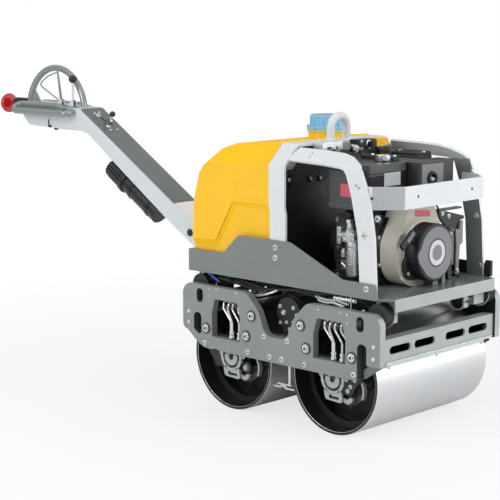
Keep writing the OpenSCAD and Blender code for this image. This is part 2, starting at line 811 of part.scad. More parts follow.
module tank_form(wall) {
    intersection() {
        slab_y(wall == 0 ? tank_profile : inset(tank_profile, wall), -tank_y, tank_y);
        translate([tank_x1, 0, tank_shoulder_z - 1.4 * wall])
            rotate([0, -tank_tilt, 0])
                slab_x(tank_section(tank_y - wall - (wall == 0 ? 0 : recess_depth), 2 * tank_h),
                    -2 * tank_len, tank_len / 2);
    }
}

module water_tank() color([0.98, 0.8, 0.15]) difference() {
    union() {
        difference() {
            tank_form(0);
            both_sides()
                slab_y(rounded(corners(recess_shares, [tank_x0, tank_low], [tank_len, tank_h])),
                    -tank_y - over, -tank_y + recess_depth);
        }
        rod_z(neck_d / 2, tank_low + 0.9 * tank_h, neck_top, neck_at);
        rod_z(neck_d / 2 + neck_ring, neck_top - 2 * neck_ring, neck_top, neck_at);
    }
    tank_form(tank_wall);
    rod_z(neck_d / 2 - neck_wall, tank_low + 0.8 * tank_h, neck_top + over, neck_at);
}

cap_lip = 6;
cap_flange_r = neck_d / 2 + cap_lip;
cap_flange_h = 13;
cap_h = 42;
cap_ear = 8;
cap_plug = 20;

module water_cap() color([0.37, 0.68, 0.88]) {
    low = neck_top + part_gap;
    rod_z(neck_d / 2 - neck_wall - run_gap, low - cap_plug, low, neck_at);
    rod_z(cap_flange_r, low, low + cap_flange_h, neck_at);
    rod_z(cap_d / 2, low + cap_flange_h, low + cap_flange_h + cap_h, neck_at);
    for (turn = [0:90:270])
        translate([neck_at[0], neck_at[1], low])
            rotate([0, 0, turn])
                box([0, -cap_ear, 0], [cap_flange_r + 0.6 * cap_ear, cap_ear, 0.8 * cap_flange_h]);
}

// Hydraulic tank under the water tank
oil_len = 210;
oil_w = 270;
oil_side = 37;
oil_gap = 15;
oil_high = [tank_x1 - oil_gap, -panel_in + oil_side + oil_w, tank_low];
oil_low = [oil_high[0] - oil_len, -panel_in + oil_side, deck_top];
shell = [shell_t, shell_t, shell_t];

module hydraulic_tank() color([0.2, 0.2, 0.2]) difference() {
    box(oil_low, oil_high);
    box(oil_low + shell, oil_high - shell);
}

// Battery on the left side of the engine bay
battery_len = 190;
battery_w = 0.23 * drum_w;
battery_h = 175;
battery_side = 22;
battery_gap = 15;

module battery() color([0.13, 0.13, 0.13]) {
    x0 = hoop_x + battery_gap;
    y1 = panel_in - battery_side;
    box([x0, y1 - battery_w, deck_top], [x0 + battery_len, y1, deck_top + battery_h]);
    for (y = [0.25, 0.75])
        rod_z(battery_side / 3, deck_top + battery_h, deck_top + battery_h + battery_side / 2,
            [hoop_x + 3 * battery_side, y1 - y * battery_w]);
}

// Bulkhead inside the hoop, behind the engine
wall_t = 6;

module bulkhead() color([0.08, 0.08, 0.08])
    slab_x(hoop_line(hoop_t), hoop_x + over, hoop_x + over + wall_t);

// Engine: crankcase with cylinder, on the deck
shaft_z = deck_top + shaft_h;
block_back = 413;
block_len = 200;
block_rise = 115;
block_x0 = deck_x1 - block_back;
block_x1 = block_x0 + block_len;
block_half = 0.2 * drum_w;
block_top = shaft_z + block_rise;
block_wall = 20;
cyl_shares = [[0.25, 0.85], [0.25, 1.15]];
cyl_h = 140;
fin_count = 8;
fin_out = 12;
cyl_head_h = 60;
head_top = block_top + cyl_h + cyl_head_h;
crank_r = crank_d / 2;

module engine_block() color([0.3, 0.31, 0.32]) {
    x0 = block_x0 + cyl_shares[0][0] * block_len;
    x1 = block_x0 + cyl_shares[0][1] * block_len;
    y0 = cyl_shares[1][0] * block_half;
    y1 = cyl_shares[1][1] * block_half;
    difference() {
        box([block_x0, -block_half, deck_top], [block_x1, block_half, block_top]);
        box([block_x0 + block_wall, -block_half + block_wall, deck_top + block_wall],
            [block_x1 - block_wall, block_half - block_wall, block_top - block_wall]);
        rod_x(crank_r + run_gap, block_x0 - over, block_x1 + over, [0, shaft_z]);
    }
    box([x0 + fin_out, y0 + fin_out, block_top], [x1 - fin_out, y1 - fin_out, block_top + cyl_h]);
    for (i = [1:fin_count])
        translate([0, 0, block_top + i * cyl_h / (fin_count + 1)])
            box([x0, y0, 0], [x1, y1, cyl_h / (3 * fin_count)]);
    box([x0, y0, block_top + cyl_h], [x1, y1, head_top]);
}

// Cooling cowl over the flywheel, with the control bracket beside it
cowl_back = 118;
cowl_x1 = deck_x1 - cowl_back;
cowl_left = 145;
cowl_right = 140;
cowl_r = 110;
cowl_neck = 63;
cowl_neck_rise = 177;
cowl_rise = 205;
cowl_neck_low = shaft_z + cowl_neck_rise;
cowl_top = shaft_z + cowl_rise;
cowl_edge = 12;
control_w = 60;
control_h = 150;
control_t = 6;

cowl_outline = rounded([[-cowl_left, deck_top, cowl_r], [cowl_right, deck_top, cowl_r],
    [cowl_right, shaft_z + cowl_r / 3, cowl_r / 2], [cowl_neck, cowl_neck_low, cowl_edge],
    [cowl_neck, cowl_top, cowl_edge], [-cowl_neck, cowl_top, cowl_edge],
    [-cowl_neck, cowl_neck_low, cowl_edge],
    [-cowl_left, shaft_z + cowl_r / 3, cowl_r / 2]]);

module cooling_cowl() color([0.78, 0.76, 0.68]) {
    difference() {
        slab_x(cowl_outline, block_x1, cowl_x1);
        slab_x(inset(cowl_outline, shell_t), block_x1 - over, cowl_x1 - shell_t);
        rod_x(recoil_d / 2 - 3 * shell_t, block_x1, cowl_x1 + over, [0, shaft_z]);
        box([block_x1 - over, fuel_y0, fuel_low - part_gap],
            [fuel_x1 + part_gap, fuel_y0 + fuel_w + part_gap, fuel_top]);
    }
    box([cowl_x1 - control_t, cowl_right, shaft_z - control_h / 2],
        [cowl_x1, cowl_right + control_w, shaft_z + control_h / 2]);
}

recoil_len = 67;
recoil_rim = 8;
crank_front = cowl_x1 + recoil_len / 2;
wheel_r = recoil_d / 2 - 4 * shell_t;
wheel_t = 50;

module recoil_housing() color([0.07, 0.07, 0.07]) difference() {
    union() {
        rod_x(recoil_d / 2, cowl_x1, cowl_x1 + recoil_len, [0, shaft_z]);
        rod_x(recoil_d / 2 - recoil_rim, cowl_x1, cowl_x1 + recoil_len + shell_t, [0, shaft_z]);
    }
    rod_x(recoil_d / 2 - recoil_rim, cowl_x1 - over, cowl_x1 + recoil_len - shell_t, [0, shaft_z]);
}

grip_r = 10;
grip_len = 80;
grip_lean = -30;
grip_shares = [-1.19, 0.52];

module recoil_grip() color([0.1, 0.1, 0.1]) {
    x = cowl_x1 + 0.45 * recoil_len;
    at = [x, grip_shares[0] * recoil_d / 2, shaft_z + grip_shares[1] * recoil_d / 2];
    pull = unit([0, at[1], at[2] - shaft_z]);
    start = [x, 0, shaft_z] + pull * (recoil_d / 2 + part_gap);
    bent_rod([start, at], grip_r / 2);
    translate(at)
        rotate([grip_lean, 0, 0])
            translate([0, 0, -grip_len / 2])
                cylinder(r = grip_r, h = grip_len);
}

module crankshaft() color("silver") {
    rod_x(crank_r, block_x0 - pump_bell + part_gap, crank_front, [0, shaft_z]);
    rod_x(wheel_r, block_x1 + 2 * fin_out, block_x1 + 2 * fin_out + wheel_t, [0, shaft_z]);
}

pump_bell = 30;
pump_len = 72;
pump_r = 48;
pump_flange_r = 85;

module hydraulic_pump() color([0.25, 0.25, 0.26]) difference() {
    union() {
        rod_x(pump_flange_r, block_x0 - pump_bell, block_x0, [0, shaft_z]);
        rod_x(pump_r, block_x0 - pump_bell - pump_len, block_x0, [0, shaft_z]);
    }
    rod_x(crank_r + run_gap, block_x0 - pump_bell, block_x0 + over, [0, shaft_z]);
}

// Fuel tank above the crankcase, on feet
fuel_over = 10;
fuel_side = 20;
fuel_rise = 38;
fuel_x1 = block_x1 + fuel_over;
fuel_x0 = fuel_x1 - fuel_len;
fuel_y0 = fuel_side - fuel_w;
fuel_low = block_top + fuel_rise;
fuel_top = fuel_low + fuel_h;
fuel_edge = 12;
fuel_lid = 25;
fuel_foot = 20;
fuel_mouth_r = 20;
fuel_cap_r = 26.5;
fuel_cap_h = 25;
fuel_cap_shares = [0.653, 0.74];
fuel_cap_at = [fuel_x0 + fuel_cap_shares[0] * fuel_len, fuel_y0 + fuel_cap_shares[1] * fuel_w];

module fuel_tank() color([0.3, 0.31, 0.32]) {
    outline = rounded([[fuel_x0, fuel_y0, fuel_edge], [fuel_x1, fuel_y0, fuel_edge],
        [fuel_x1, fuel_y0 + fuel_w, fuel_edge], [fuel_x0, fuel_y0 + fuel_w, fuel_edge]]);
    difference() {
        slab_z(outline, fuel_low, fuel_top);
        slab_z(inset(outline, shell_t), fuel_low + shell_t, fuel_top - shell_t);
        rod_z(fuel_mouth_r, fuel_top - fuel_lid, fuel_top + over, fuel_cap_at);
    }
    for (x = [fuel_x0 + fuel_foot, fuel_x1 - 3 * fuel_foot])
        box([x, fuel_y0 + 0.5 * fuel_w, block_top],
            [x + fuel_foot, fuel_y0 + fuel_w - 3 * fuel_edge, fuel_low]);
}

module fuel_cap() color("silver") {
    rod_z(fuel_mouth_r - run_gap, fuel_top - fuel_lid / 2, fuel_top + part_gap, fuel_cap_at);
    rod_z(fuel_cap_r, fuel_top + part_gap, fuel_top + fuel_cap_h, fuel_cap_at);
}

// Muffler in front of the cylinder head, air filter beside it
muffler_rise = 62;
muffler_over = 15;
muffler_back = 25;
muffler_len = 85;
muffler_low = fuel_low + muffler_rise;
muffler_top = fuel_top + muffler_over;
muffler_x0 = block_x1 - muffler_back;
muffler_x1 = muffler_x0 + muffler_len;
muffler_y0 = 30;
muffler_y1 = 247;
muffler_bend = 22;
outlet_r = 24;
outlet_shares = [0.32, 0.32];
outlet_len = 10;
filter_box = 95;

module muffler() color([0.2, 0.19, 0.19]) {
    outline = rounded([[muffler_x0, muffler_y0, fuel_edge], [muffler_x1, muffler_y0, fuel_edge],
        [muffler_x1, muffler_y1, muffler_bend], [muffler_x0, muffler_y1, fuel_edge]]);
    at = [muffler_y0 + outlet_shares[0] * (muffler_y1 - muffler_y0),
        muffler_low + outlet_shares[1] * (muffler_top - muffler_low)];
    difference() {
        union() {
            slab_z(outline, muffler_low, muffler_top);
            rod_x(outlet_r, muffler_x1 - over, muffler_x1 + outlet_len, at);
        }
        rod_x(outlet_r - shell_t, muffler_x1 - 0.4 * muffler_len, muffler_x1 + outlet_len + over, at);
    }
    box([block_x0 + cyl_shares[0][1] * block_len, 2 * muffler_y0, muffler_low + shell_t],
        [muffler_x0, 3 * muffler_y0, head_top - shell_t]);
}

module air_filter() color([0.1, 0.1, 0.1]) {
    x0 = block_x0 + 2 * fuel_edge;
    x1 = muffler_x0 - fuel_edge;
    y0 = cyl_shares[1][1] * block_half;
    outline = rounded([[x0, y0, fuel_edge], [x1, y0, fuel_edge],
        [x1, y0 + filter_box, 2 * fuel_edge], [x0, y0 + filter_box, 2 * fuel_edge]]);
    slab_z(outline, head_top - filter_box, head_top + fuel_edge);
}

// Switch box and key under the top of the hoop
box_depth = 48;
box_y0 = -172;
box_y1 = -60;
box_h = 27;
key_y0 = 37;
key_y1 = 132;
key_h = 48;
key_y = 89;
key_drop = 19;
key_at = [key_y, hoop_top - key_drop];
key_r = 5;
valve_y0 = 141;
valve_y1 = 210;
knob_r = 12;
knob_len = 22;

module switch_box() color([0.45, 0.46, 0.47]) {
    x0 = hoop_front;
    x1 = hoop_front + box_depth;
    box([x0, box_y0, hoop_top - box_h], [x1, box_y1, hoop_top + 0.1 * box_h]);
    difference() {
        box([x0, key_y0, hoop_top - key_h], [x1, key_y1, hoop_top - over]);
        rod_x(key_r + run_gap, x1 - box_depth / 2, x1 + over, key_at);
    }
    box([x0, valve_y0, hoop_top - 0.7 * key_h], [x1, valve_y1, hoop_top - over]);
}

module ignition_key() color([0.1, 0.1, 0.1]) {
    x1 = hoop_front + box_depth;
    rod_x(key_r, x1 - box_depth / 2 + part_gap, x1 + part_gap, key_at);
    rod_x(knob_r, x1 + part_gap, x1 + knob_len / 2, key_at);
    box([x1 + part_gap, key_at[0] - key_r / 2, key_at[1] - knob_r],
        [x1 + knob_len, key_at[0] + key_r / 2, key_at[1] + knob_r]);
}

// Drawbar frame: x along the bar from the pivot, z square to its top face
pivot_x = deck_x0 - pivot_back;
pivot_z = deck_low - pivot_drop;
bar_half = bar_w / 2;
bar_top = 43.5;
bar_front = 40;
bar_low_shares = [[0.362, -0.99], [0.722, -0.76], [0.9125, -0.575]];
cover_start = 366;
pin_r = pin_d / 2;
sleeve_r = 26;

module bar_frame() {
    translate([pivot_x, 0, pivot_z])
        rotate([0, bar_deg, 0])
            mirror([1, 0, 0])
                children();
}

// Outline of the bar, its front end moved out by a gap
function bar_outline(gap) = rounded(concat(
    [[-bar_front - gap, -bar_front - gap, 0.2 * bar_front]],
    [for (s = bar_low_shares) [s[0] * bar_len, s[1] * bar_top, 0]],
    [[bar_len, bar_top, 0], [-bar_front - gap, bar_top, 0.98 * bar_front]]
        ));

module drawbar_channel() color([0.87, 0.89, 0.9]) bar_frame() difference() {
    union() {
        difference() {
            slab_y(bar_outline(0), -bar_half, bar_half);
            slab_y(inset(bar_outline(0), bar_wall), -bar_half + bar_wall, bar_half - bar_wall);
            box([cover_start, -bar_half - over, bar_top - bar_wall],
                [bar_len + over, bar_half + over, bar_top + over]);
        }
        rod_y(sleeve_r, -bar_half, bar_half, [0, 0]);
    }
    rod_y(pin_r + run_gap, -bar_half - over, bar_half + over, [0, 0]);
}

// A fork with a pin for a lever, standing on a foot, its pin at the local origin
lever_pin_r = 5;
lever_boss_r = 11;
lever_boss_w = 12;
ear_t = 5;
foot_drop = 16;

module lever_fork() {
    w = lever_boss_w / 2 + part_gap;
    for (s = [-1, 1])
        translate([0, s * (w + ear_t / 2), 0]) {
            rod_y(lever_boss_r, -ear_t / 2, ear_t / 2, [0, 0]);
            box([-lever_boss_r, -ear_t / 2, -foot_drop], [lever_boss_r, ear_t / 2, 0]);
        }
    rod_y(lever_pin_r, -w - ear_t / 2, w + ear_t / 2, [0, 0]);
    box([-1.6 * lever_boss_r, -w - 1.6 * ear_t, -foot_drop - ear_t],
        [1.6 * lever_boss_r, w + 1.6 * ear_t, -foot_drop]);
}

// The boss of a lever round that pin
module lever_boss() difference() {
    rod_y(lever_boss_r, -lever_boss_w / 2, lever_boss_w / 2, [0, 0]);
    rod_y(lever_pin_r + run_gap, -lever_boss_w, lever_boss_w, [0, 0]);
}

throttle_share = 0.87876;
throttle_u = throttle_share * bar_len;
throttle_pin = bar_top + foot_drop + ear_t;

module drawbar_cover() color([0.42, 0.44, 0.44]) bar_frame() {
    slab_y([[cover_start, bar_top - bar_wall], [bar_len - 1.36 * bar_wall, bar_top - bar_wall],
        [bar_len, bar_top], [cover_start, bar_top]], -bar_half, bar_half);
    translate([throttle_u, 0, throttle_pin])
        lever_fork();
}

// Head of the drawbar, from the bend to the rear
bend = [pivot_x - cos(bar_deg) * bar_len + sin(bar_deg) * bar_top,
    pivot_z + sin(bar_deg) * bar_len + cos(bar_deg) * bar_top];
low_share = bar_low_shares[2];
bend_low = [pivot_x - cos(bar_deg) * low_share[0] * bar_len + sin(bar_deg) * low_share[1] * bar_top,
    pivot_z + sin(bar_deg) * low_share[0] * bar_len + cos(bar_deg) * low_share[1] * bar_top];
head_shares = [[-1, 0.168, 0.08], [-1, -0.3, 0.12], [-0.87, -0.813, 0.15], [-0.325, -0.907, 0.2],
    [-0.02, -0.907, 0.1]];
head_corners = concat([[bend_low[0], bend_low[1], 0], [bend[0], bend[1], 0]],
    corners(head_shares, bend, [head_len, head_h]));
head_outline = rounded(head_corners);
head_rise_share = 0.168;
head_x0 = bend[0] - head_len;
lever_y = -42;
travel_share = 0.372;
shake_share = 0.18;

// Height of the head's top face at a share of its length
function head_z(share) = bend[1] + share * head_rise_share * head_h;

button_z = bend[1];
rod_r = 10;

module head_solid()
    slab_y(head_outline, -bar_half, bar_half);

module drawbar_head() color([0.87, 0.89, 0.9]) {
    difference() {
        head_solid();
        slab_y(inset(head_outline, bar_wall), -bar_half + bar_wall, bar_half - bar_wall);
        translate([bar_wall * 1.5, 0, 0])
            slab_y(inset(head_outline, bar_wall), -bar_half + 2 * bar_wall, bar_half - 2 * bar_wall);
        rod_x(rod_r + run_gap, head_x0 - over, head_x0 + 2 * bar_wall, [0, button_z]);
    }
    difference() {
        for (share = [travel_share, shake_share])
            translate([bend[0] - share * head_len, lever_y, head_z(share) + foot_drop + 0.6 * ear_t])
                lever_fork();
        slab_y(inset(head_outline, bar_wall), -bar_half + bar_wall, bar_half - bar_wall);
    }
}

ring_at = [bend[0] - 0.574 * head_len, bend[1] - 0.243 * head_h];
ring_mid = ring_r - ring_tube / 2;
gusset_t = 8;
gusset_h = 64;
gusset_w = 80;

module head_hoop() color([0.87, 0.89, 0.9]) difference() {
    union() {
        translate([ring_at[0], 0, ring_at[1]])
            rotate([90, 0, 0])
                rotate_extrude(angle = 180)
                    translate([ring_mid, 0])
                        circle(r = ring_tube / 2);
        slab_y([[head_x0 + over, head_z(1)], [head_x0 + gusset_w, head_z(0.8)],
            [ring_at[0] - ring_mid + 0.9 * ring_tube, head_z(1) + gusset_h],
            [ring_at[0] - ring_mid, head_z(1) + gusset_h], [ring_at[0] - ring_mid, head_z(1)]],
            -gusset_t / 2, gusset_t / 2);
    }
    head_solid();
    box([head_x0 - ring_r, -ring_tube, 0], [head_x0 + 2 * bar_wall, ring_tube, head_z(1) - over]);
}

// Hand rails along both sides of the head, with a sloped plate above
rail_r = rail_d / 2;
rail_z = bend[1] - 0.35 * head_h;
rail_back = 18;
rail_front = 30;
rail_plate_t = 3;

module hand_rails() color([0.75, 0.77, 0.77]) both_sides() {
    x0 = head_x0 + rail_back;
    x1 = bend[0] - rail_front;
    bent_rod([[x0, -bar_half, rail_z], [x0, -rail_y, rail_z], [x1, -rail_y, rail_z],
        [x1, -bar_half, rail_z]], rail_r);
    slab_x([[-bar_half, bend[1]], [-rail_y, rail_z + rail_r - rail_plate_t], [-rail_y, rail_z + rail_r],
        [-bar_half, bend[1] + rail_plate_t]], x0, x1);
}

// Document tube under the bar
doc_r = doc_d / 2;
doc_z = -bar_top - 1.1 * doc_r;
doc_shares = [0.432, 0.648, 0.669, 0.76];
doc_wall = 5;
doc_collar = 9;
doc_cap_extra = 2;
flute_count = 16;
flute_r = 3;
clamp_w = 20;
clamp_shares = [0.47, 0.6];

module document_tube() color([0.9, 0.9, 0.88]) bar_frame() {
    difference() {
        union() {
            rod_x(doc_r, doc_shares[0] * bar_len, doc_shares[2] * bar_len, [0, doc_z]);
            rod_x(doc_r + doc_collar, doc_shares[1] * bar_len, doc_shares[2] * bar_len, [0, doc_z]);
        }
        rod_x(doc_r - doc_wall, doc_shares[0] * bar_len + doc_wall, bar_len, [0, doc_z]);
    }
    for (s = clamp_shares)
        difference() {
            box([s * bar_len, -0.6 * doc_r, doc_z], [s * bar_len + clamp_w, 0.6 * doc_r, 0]);
            rod_x(doc_r - over, 0, bar_len, [0, doc_z]);
            slab_y(bar_outline(0), -bar_half, bar_half);
        }
}

module document_cap() color([0.2, 0.2, 0.2]) bar_frame() {
    x0 = doc_shares[2] * bar_len;
    x1 = doc_shares[3] * bar_len;
    rod_x(doc_r - doc_wall - run_gap, x0 - clamp_w, x0 + part_gap, [0, doc_z]);
    r = doc_r + doc_cap_extra;
    difference() {
        rod_x(r, x0 + part_gap, x1, [0, doc_z]);
        for (i = [0:flute_count - 1])
            rod_x(flute_r, x0 + doc_collar, x1 + over,
                [r * cos(360 * i / flute_count), doc_z + r * sin(360 * i / flute_count)]);
    }
}

// Travel lever: a flat bar with a wire bow behind it
travel_h = 138;
travel_w = 14;
travel_t = 4;
wire_r = 3;
travel_lean = 10;
bow_shares = [[-1, 0.44], [-1.065, 0.5], [-1, 0.6], [-0.7, 0.78], [-0.38, 0.885]];

module travel_lever() color([0.8, 0.81, 0.8]) {
    z = head_z(travel_share) + foot_drop + 0.6 * ear_t;
    translate([bend[0] - travel_share * head_len, lever_y, z]) {
        lever_boss();
        rotate([0, -travel_lean, 0])
            slab_y([[-travel_w / 2, lever_boss_r - over], [travel_w / 2, lever_boss_r - over],
                [travel_w / 4, travel_h], [-travel_w / 4, travel_h]], -travel_t / 2, travel_t / 2);
        bent_rod(concat([[-0.8 * lever_boss_r, 0, 0]],
            [for (s = bow_shares) [s[0] * travel_h, 0, s[1] * travel_h]],
            [[-sin(travel_lean) * 0.94 * travel_h, 0, cos(travel_lean) * 0.94 * travel_h]]), wire_r);
    }
}

// Vibration lever with a ball on top
shake_h = 104;
shake_r = 5;
ball_r = 18;

module vibration_lever() color([0.1, 0.1, 0.1]) {
    z = head_z(shake_share) + foot_drop + 0.6 * ear_t;
    translate([bend[0] - shake_share * head_len, lever_y, z]) {
        lever_boss();
        rod_z(shake_r, lever_boss_r - over, shake_h, [0, 0]);
        translate([0, 0, shake_h])
            sphere(r = ball_r);
    }
}

// Throttle lever with a small ball, on the bar
throttle_h = 34;
throttle_ball = 13;

module throttle_lever() color([0.1, 0.1, 0.1]) bar_frame() translate([throttle_u, 0, throttle_pin]) {
    lever_boss();
    rod_z(0.8 * shake_r, lever_boss_r - over, throttle_h, [0, 0]);
    translate([0, 0, throttle_h])
        sphere(r = throttle_ball);
}

// Stop button at the end of the head, on a rod that slides forward
button_r = button_d / 2;
button_t = 28;
button_reach = 162;
boot_len = 115;
boot_r = 28;
boot_neck_r = 14;
boot_neck = 30;
rib_count = 7;
rib_low_share = 0.75;

module stop_button() color([0.8, 0.08, 0.16]) {
    x1 = head_x0 - button_reach;
    rod_x(rod_r, x1 - over, head_x0 + 4 * bar_wall, [0, button_z]);
    translate([x1 - button_t, 0, button_z])
        rotate([0, 90, 0])
            rotate_extrude()
                polygon([[0, 0], [0.7 * button_r, 0.05 * button_t], [0.93 * button_r, 0.25 * button_t],
                    [button_r, 0.5 * button_t], [button_r, 0.8 * button_t],
                    [0.9 * button_r, button_t], [0, button_t]]);
}

module button_boot() color([0.12, 0.12, 0.13]) translate([head_x0, 0, button_z]) rotate([0, -90, 0])
    rotate_extrude()
        polygon(concat([[rod_r + part_gap, 0], [boot_neck_r, 0], [boot_neck_r, boot_neck]],
            [for (i = [0:2 * rib_count])
                [boot_r * (i % 2 == 0 ? rib_low_share : 1),
                    boot_neck + i * (boot_len - boot_neck) / (2 * rib_count)]],
            [[rod_r + part_gap, boot_len]]));

// Bracket that carries the drawbar, with a stop under the bar's front end
ear_gap = 1.4;
bracket_ear = 12;
base_t = 10;
base_half = 86;
base_drop = 67;
base_rise = 73;
base_low = pivot_z - base_drop;
base_top = pivot_z + base_rise;
ear_end_r = 42;
base_x = deck_x0 - panel_t;
pin_head = 6;

module drawbar_bracket() color([0.6, 0.62, 0.6]) {
    y1 = -bar_half - ear_gap;
    box([base_x - base_t, -base_half, base_low], [base_x, base_half, base_top]);
    both_sides() difference() {
        slab_y(rounded([[base_x - base_t, base_low + base_t, 0], [base_x - base_t, base_top - base_t, 0],
            [pivot_x - ear_end_r, pivot_z + ear_end_r, 0.9 * ear_end_r],
            [pivot_x - ear_end_r, pivot_z - ear_end_r, 0.9 * ear_end_r]]),
            y1 - bracket_ear, y1);
        rod_y(pin_r + part_gap, y1 - bracket_ear - over, y1 + over, [pivot_x, pivot_z]);
    }
    difference() {
        box([pivot_x + 0.4 * bar_front, -0.7 * bar_half, base_low + base_t],
            [base_x - base_t, 0.7 * bar_half, pivot_z - 0.6 * bar_front]);
        bar_frame()
            slab_y(bar_outline(part_gap), -bar_half, bar_half);
        rod_y(1.12 * bar_front, -bar_half, bar_half, [pivot_x, pivot_z]);
    }
}

module drawbar_pin() color("silver") {
    y = bar_half + ear_gap + bracket_ear;
    rod_y(pin_r, -y, y, [pivot_x, pivot_z]);
    both_sides()
        rod_y(pin_r + pin_head, -y - pin_head, -y, [pivot_x, pivot_z]);
}

mirror([0, 1, 0]) side_plate();  // side_plate_left
side_plate();  // side_plate_right
bolts();
cross_members();
scrapers();
sprinkler_pipes();
centre_beam();
exciter_housing();
exciter_covers();
exciter_motor();
bearings();
exciter_shaft();
drum_carriers();
drive_motors();
front_drum();
rear_drum();
front_axle();
rear_axle();
drive_pipes();
rubber_mounts();
mount_brackets();
hydraulic_filter();
deck();
mirror([0, 1, 0]) side_panel();  // side_panel_left
side_panel();  // side_panel_right
guard_hoop();
lifting_eye();
front_guards();
bumper_bar();
water_tank();
water_cap();
hydraulic_tank();
battery();
bulkhead();
engine_block();
cooling_cowl();
recoil_housing();
recoil_grip();
crankshaft();
fuel_tank();
fuel_cap();
air_filter();
muffler();
hydraulic_pump();
switch_box();
ignition_key();
drawbar_bracket();
drawbar_pin();
drawbar_channel();
drawbar_cover();
drawbar_head();
head_hoop();
hand_rails();
document_tube();
document_cap();
travel_lever();
vibration_lever();
throttle_lever();
stop_button();
button_boot();
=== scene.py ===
import json
import math

import bmesh
import bpy
from mathutils import Matrix, Vector

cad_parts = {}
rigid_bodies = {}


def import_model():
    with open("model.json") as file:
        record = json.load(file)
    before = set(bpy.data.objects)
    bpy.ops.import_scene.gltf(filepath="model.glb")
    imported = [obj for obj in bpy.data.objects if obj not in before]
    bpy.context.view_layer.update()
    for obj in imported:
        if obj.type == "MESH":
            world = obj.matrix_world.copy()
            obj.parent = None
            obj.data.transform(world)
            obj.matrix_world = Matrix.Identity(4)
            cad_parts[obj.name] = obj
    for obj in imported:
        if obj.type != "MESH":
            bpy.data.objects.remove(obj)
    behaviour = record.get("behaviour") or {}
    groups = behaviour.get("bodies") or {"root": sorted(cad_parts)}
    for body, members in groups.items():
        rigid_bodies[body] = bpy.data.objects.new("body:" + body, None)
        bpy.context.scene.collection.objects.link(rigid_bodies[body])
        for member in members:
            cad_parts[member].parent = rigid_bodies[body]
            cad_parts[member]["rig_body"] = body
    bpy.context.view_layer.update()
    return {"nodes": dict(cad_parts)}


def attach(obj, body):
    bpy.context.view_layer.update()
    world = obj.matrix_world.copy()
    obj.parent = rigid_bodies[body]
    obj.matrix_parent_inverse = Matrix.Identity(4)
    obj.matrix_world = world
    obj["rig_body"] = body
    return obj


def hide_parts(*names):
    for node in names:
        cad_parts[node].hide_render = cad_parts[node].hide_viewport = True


for unwanted in list(bpy.data.objects):
    bpy.data.objects.remove(unwanted)

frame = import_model()
mm = 0.001
ahead, left, right, up = (1, 0, 0), (0, 1, 0), (0, -1, 0), (0, 0, 1)  # ahead is the end with the engine
print("frame loaded,", len(frame["nodes"]), "nodes")


# finishes

def addNode(tree, kind, inputs=None, **settings):
    # an input is a value, a socket to join it to, or a list of sockets
    node = tree.nodes.new(kind)
    for name, value in settings.items():
        setattr(node, name, value)
    for socket, value in (inputs or {}).items():
        for source in value if isinstance(value, list) else [value]:
            if isinstance(source, bpy.types.NodeSocket):
                tree.links.new(source, node.inputs[socket])
            else:
                node.inputs[socket].default_value = source
    return node.outputs


usual = {"metal": 0.0, "rough": 0.45, "roughSpread": 0.07, "mottle": 0.06, "cloud": 9, "grain": 420,
         "peel": 0.12, "depth": 0.3, "wear": 0.5, "sockets": {}}


def makeFinish(name, look):
    look = {**usual, **look}
    material = bpy.data.materials.new(name)
    material.use_nodes = True
    tree = material.node_tree
    shader = tree.nodes["Principled BSDF"].inputs
    for socket, value in look["sockets"].items():
        shader[socket].default_value = value
    shader["Metallic"].default_value = look["metal"]
    place = addNode(tree, "ShaderNodeTexCoord")["Object"]
    if "stretch" in look:
        place = addNode(tree, "ShaderNodeMapping", {"Vector": place, "Scale": look["stretch"]})["Vector"]

    def noise(scale, detail, low, high):
        cloudy = addNode(tree, "ShaderNodeTexNoise", {"Vector": place, "Scale": scale,
            "Detail": detail})["Fac"]
        return addNode(tree, "ShaderNodeMapRange", {"Value": cloudy, "From Min": 0.3, "From Max": 0.7,
                                                    "To Min": low, "To Max": high})["Result"]

    def blend(factor, *ends):
        first, second = [(*end, 1) if isinstance(end, tuple) else end for end in ends]
        return addNode(tree, "ShaderNodeMix", {"Factor": factor, "A": first, "B": second},
                       data_type="RGBA")["Result"]

    base, mottle = look["colour"], look["mottle"]
    colour = blend(noise(look["cloud"], 5, 0, 1), tuple(c * (1 - mottle) for c in base),
                   tuple(min(1, c * (1 + mottle)) for c in base))
    if "edge" in look:  # rubbed edges, from the face attribute that soften leaves
        rubbed = addNode(tree, "ShaderNodeAttribute", attribute_name="edge")["Fac"]
        worn = addNode(tree, "ShaderNodeMath", {0: rubbed, 1: noise(35, 4, 0, look["wear"])},
                       operation="MULTIPLY")["Value"]
        colour = blend(worn, colour, look["edge"])
    tree.links.new(colour, shader["Base Color"])
    low, high = look["rough"] - look["roughSpread"], look["rough"] + look["roughSpread"]
    tree.links.new(noise(look["cloud"] * 3, 5, low, high), shader["Roughness"])
    bumps = addNode(tree, "ShaderNodeBump", {"Height": noise(look["grain"], 3, 0, 1),
        "Strength": look["peel"], "Distance": look["depth"] * mm})["Normal"]
    tree.links.new(bumps, shader["Normal"])
    material.diffuse_color = (*base, 1)
    return material


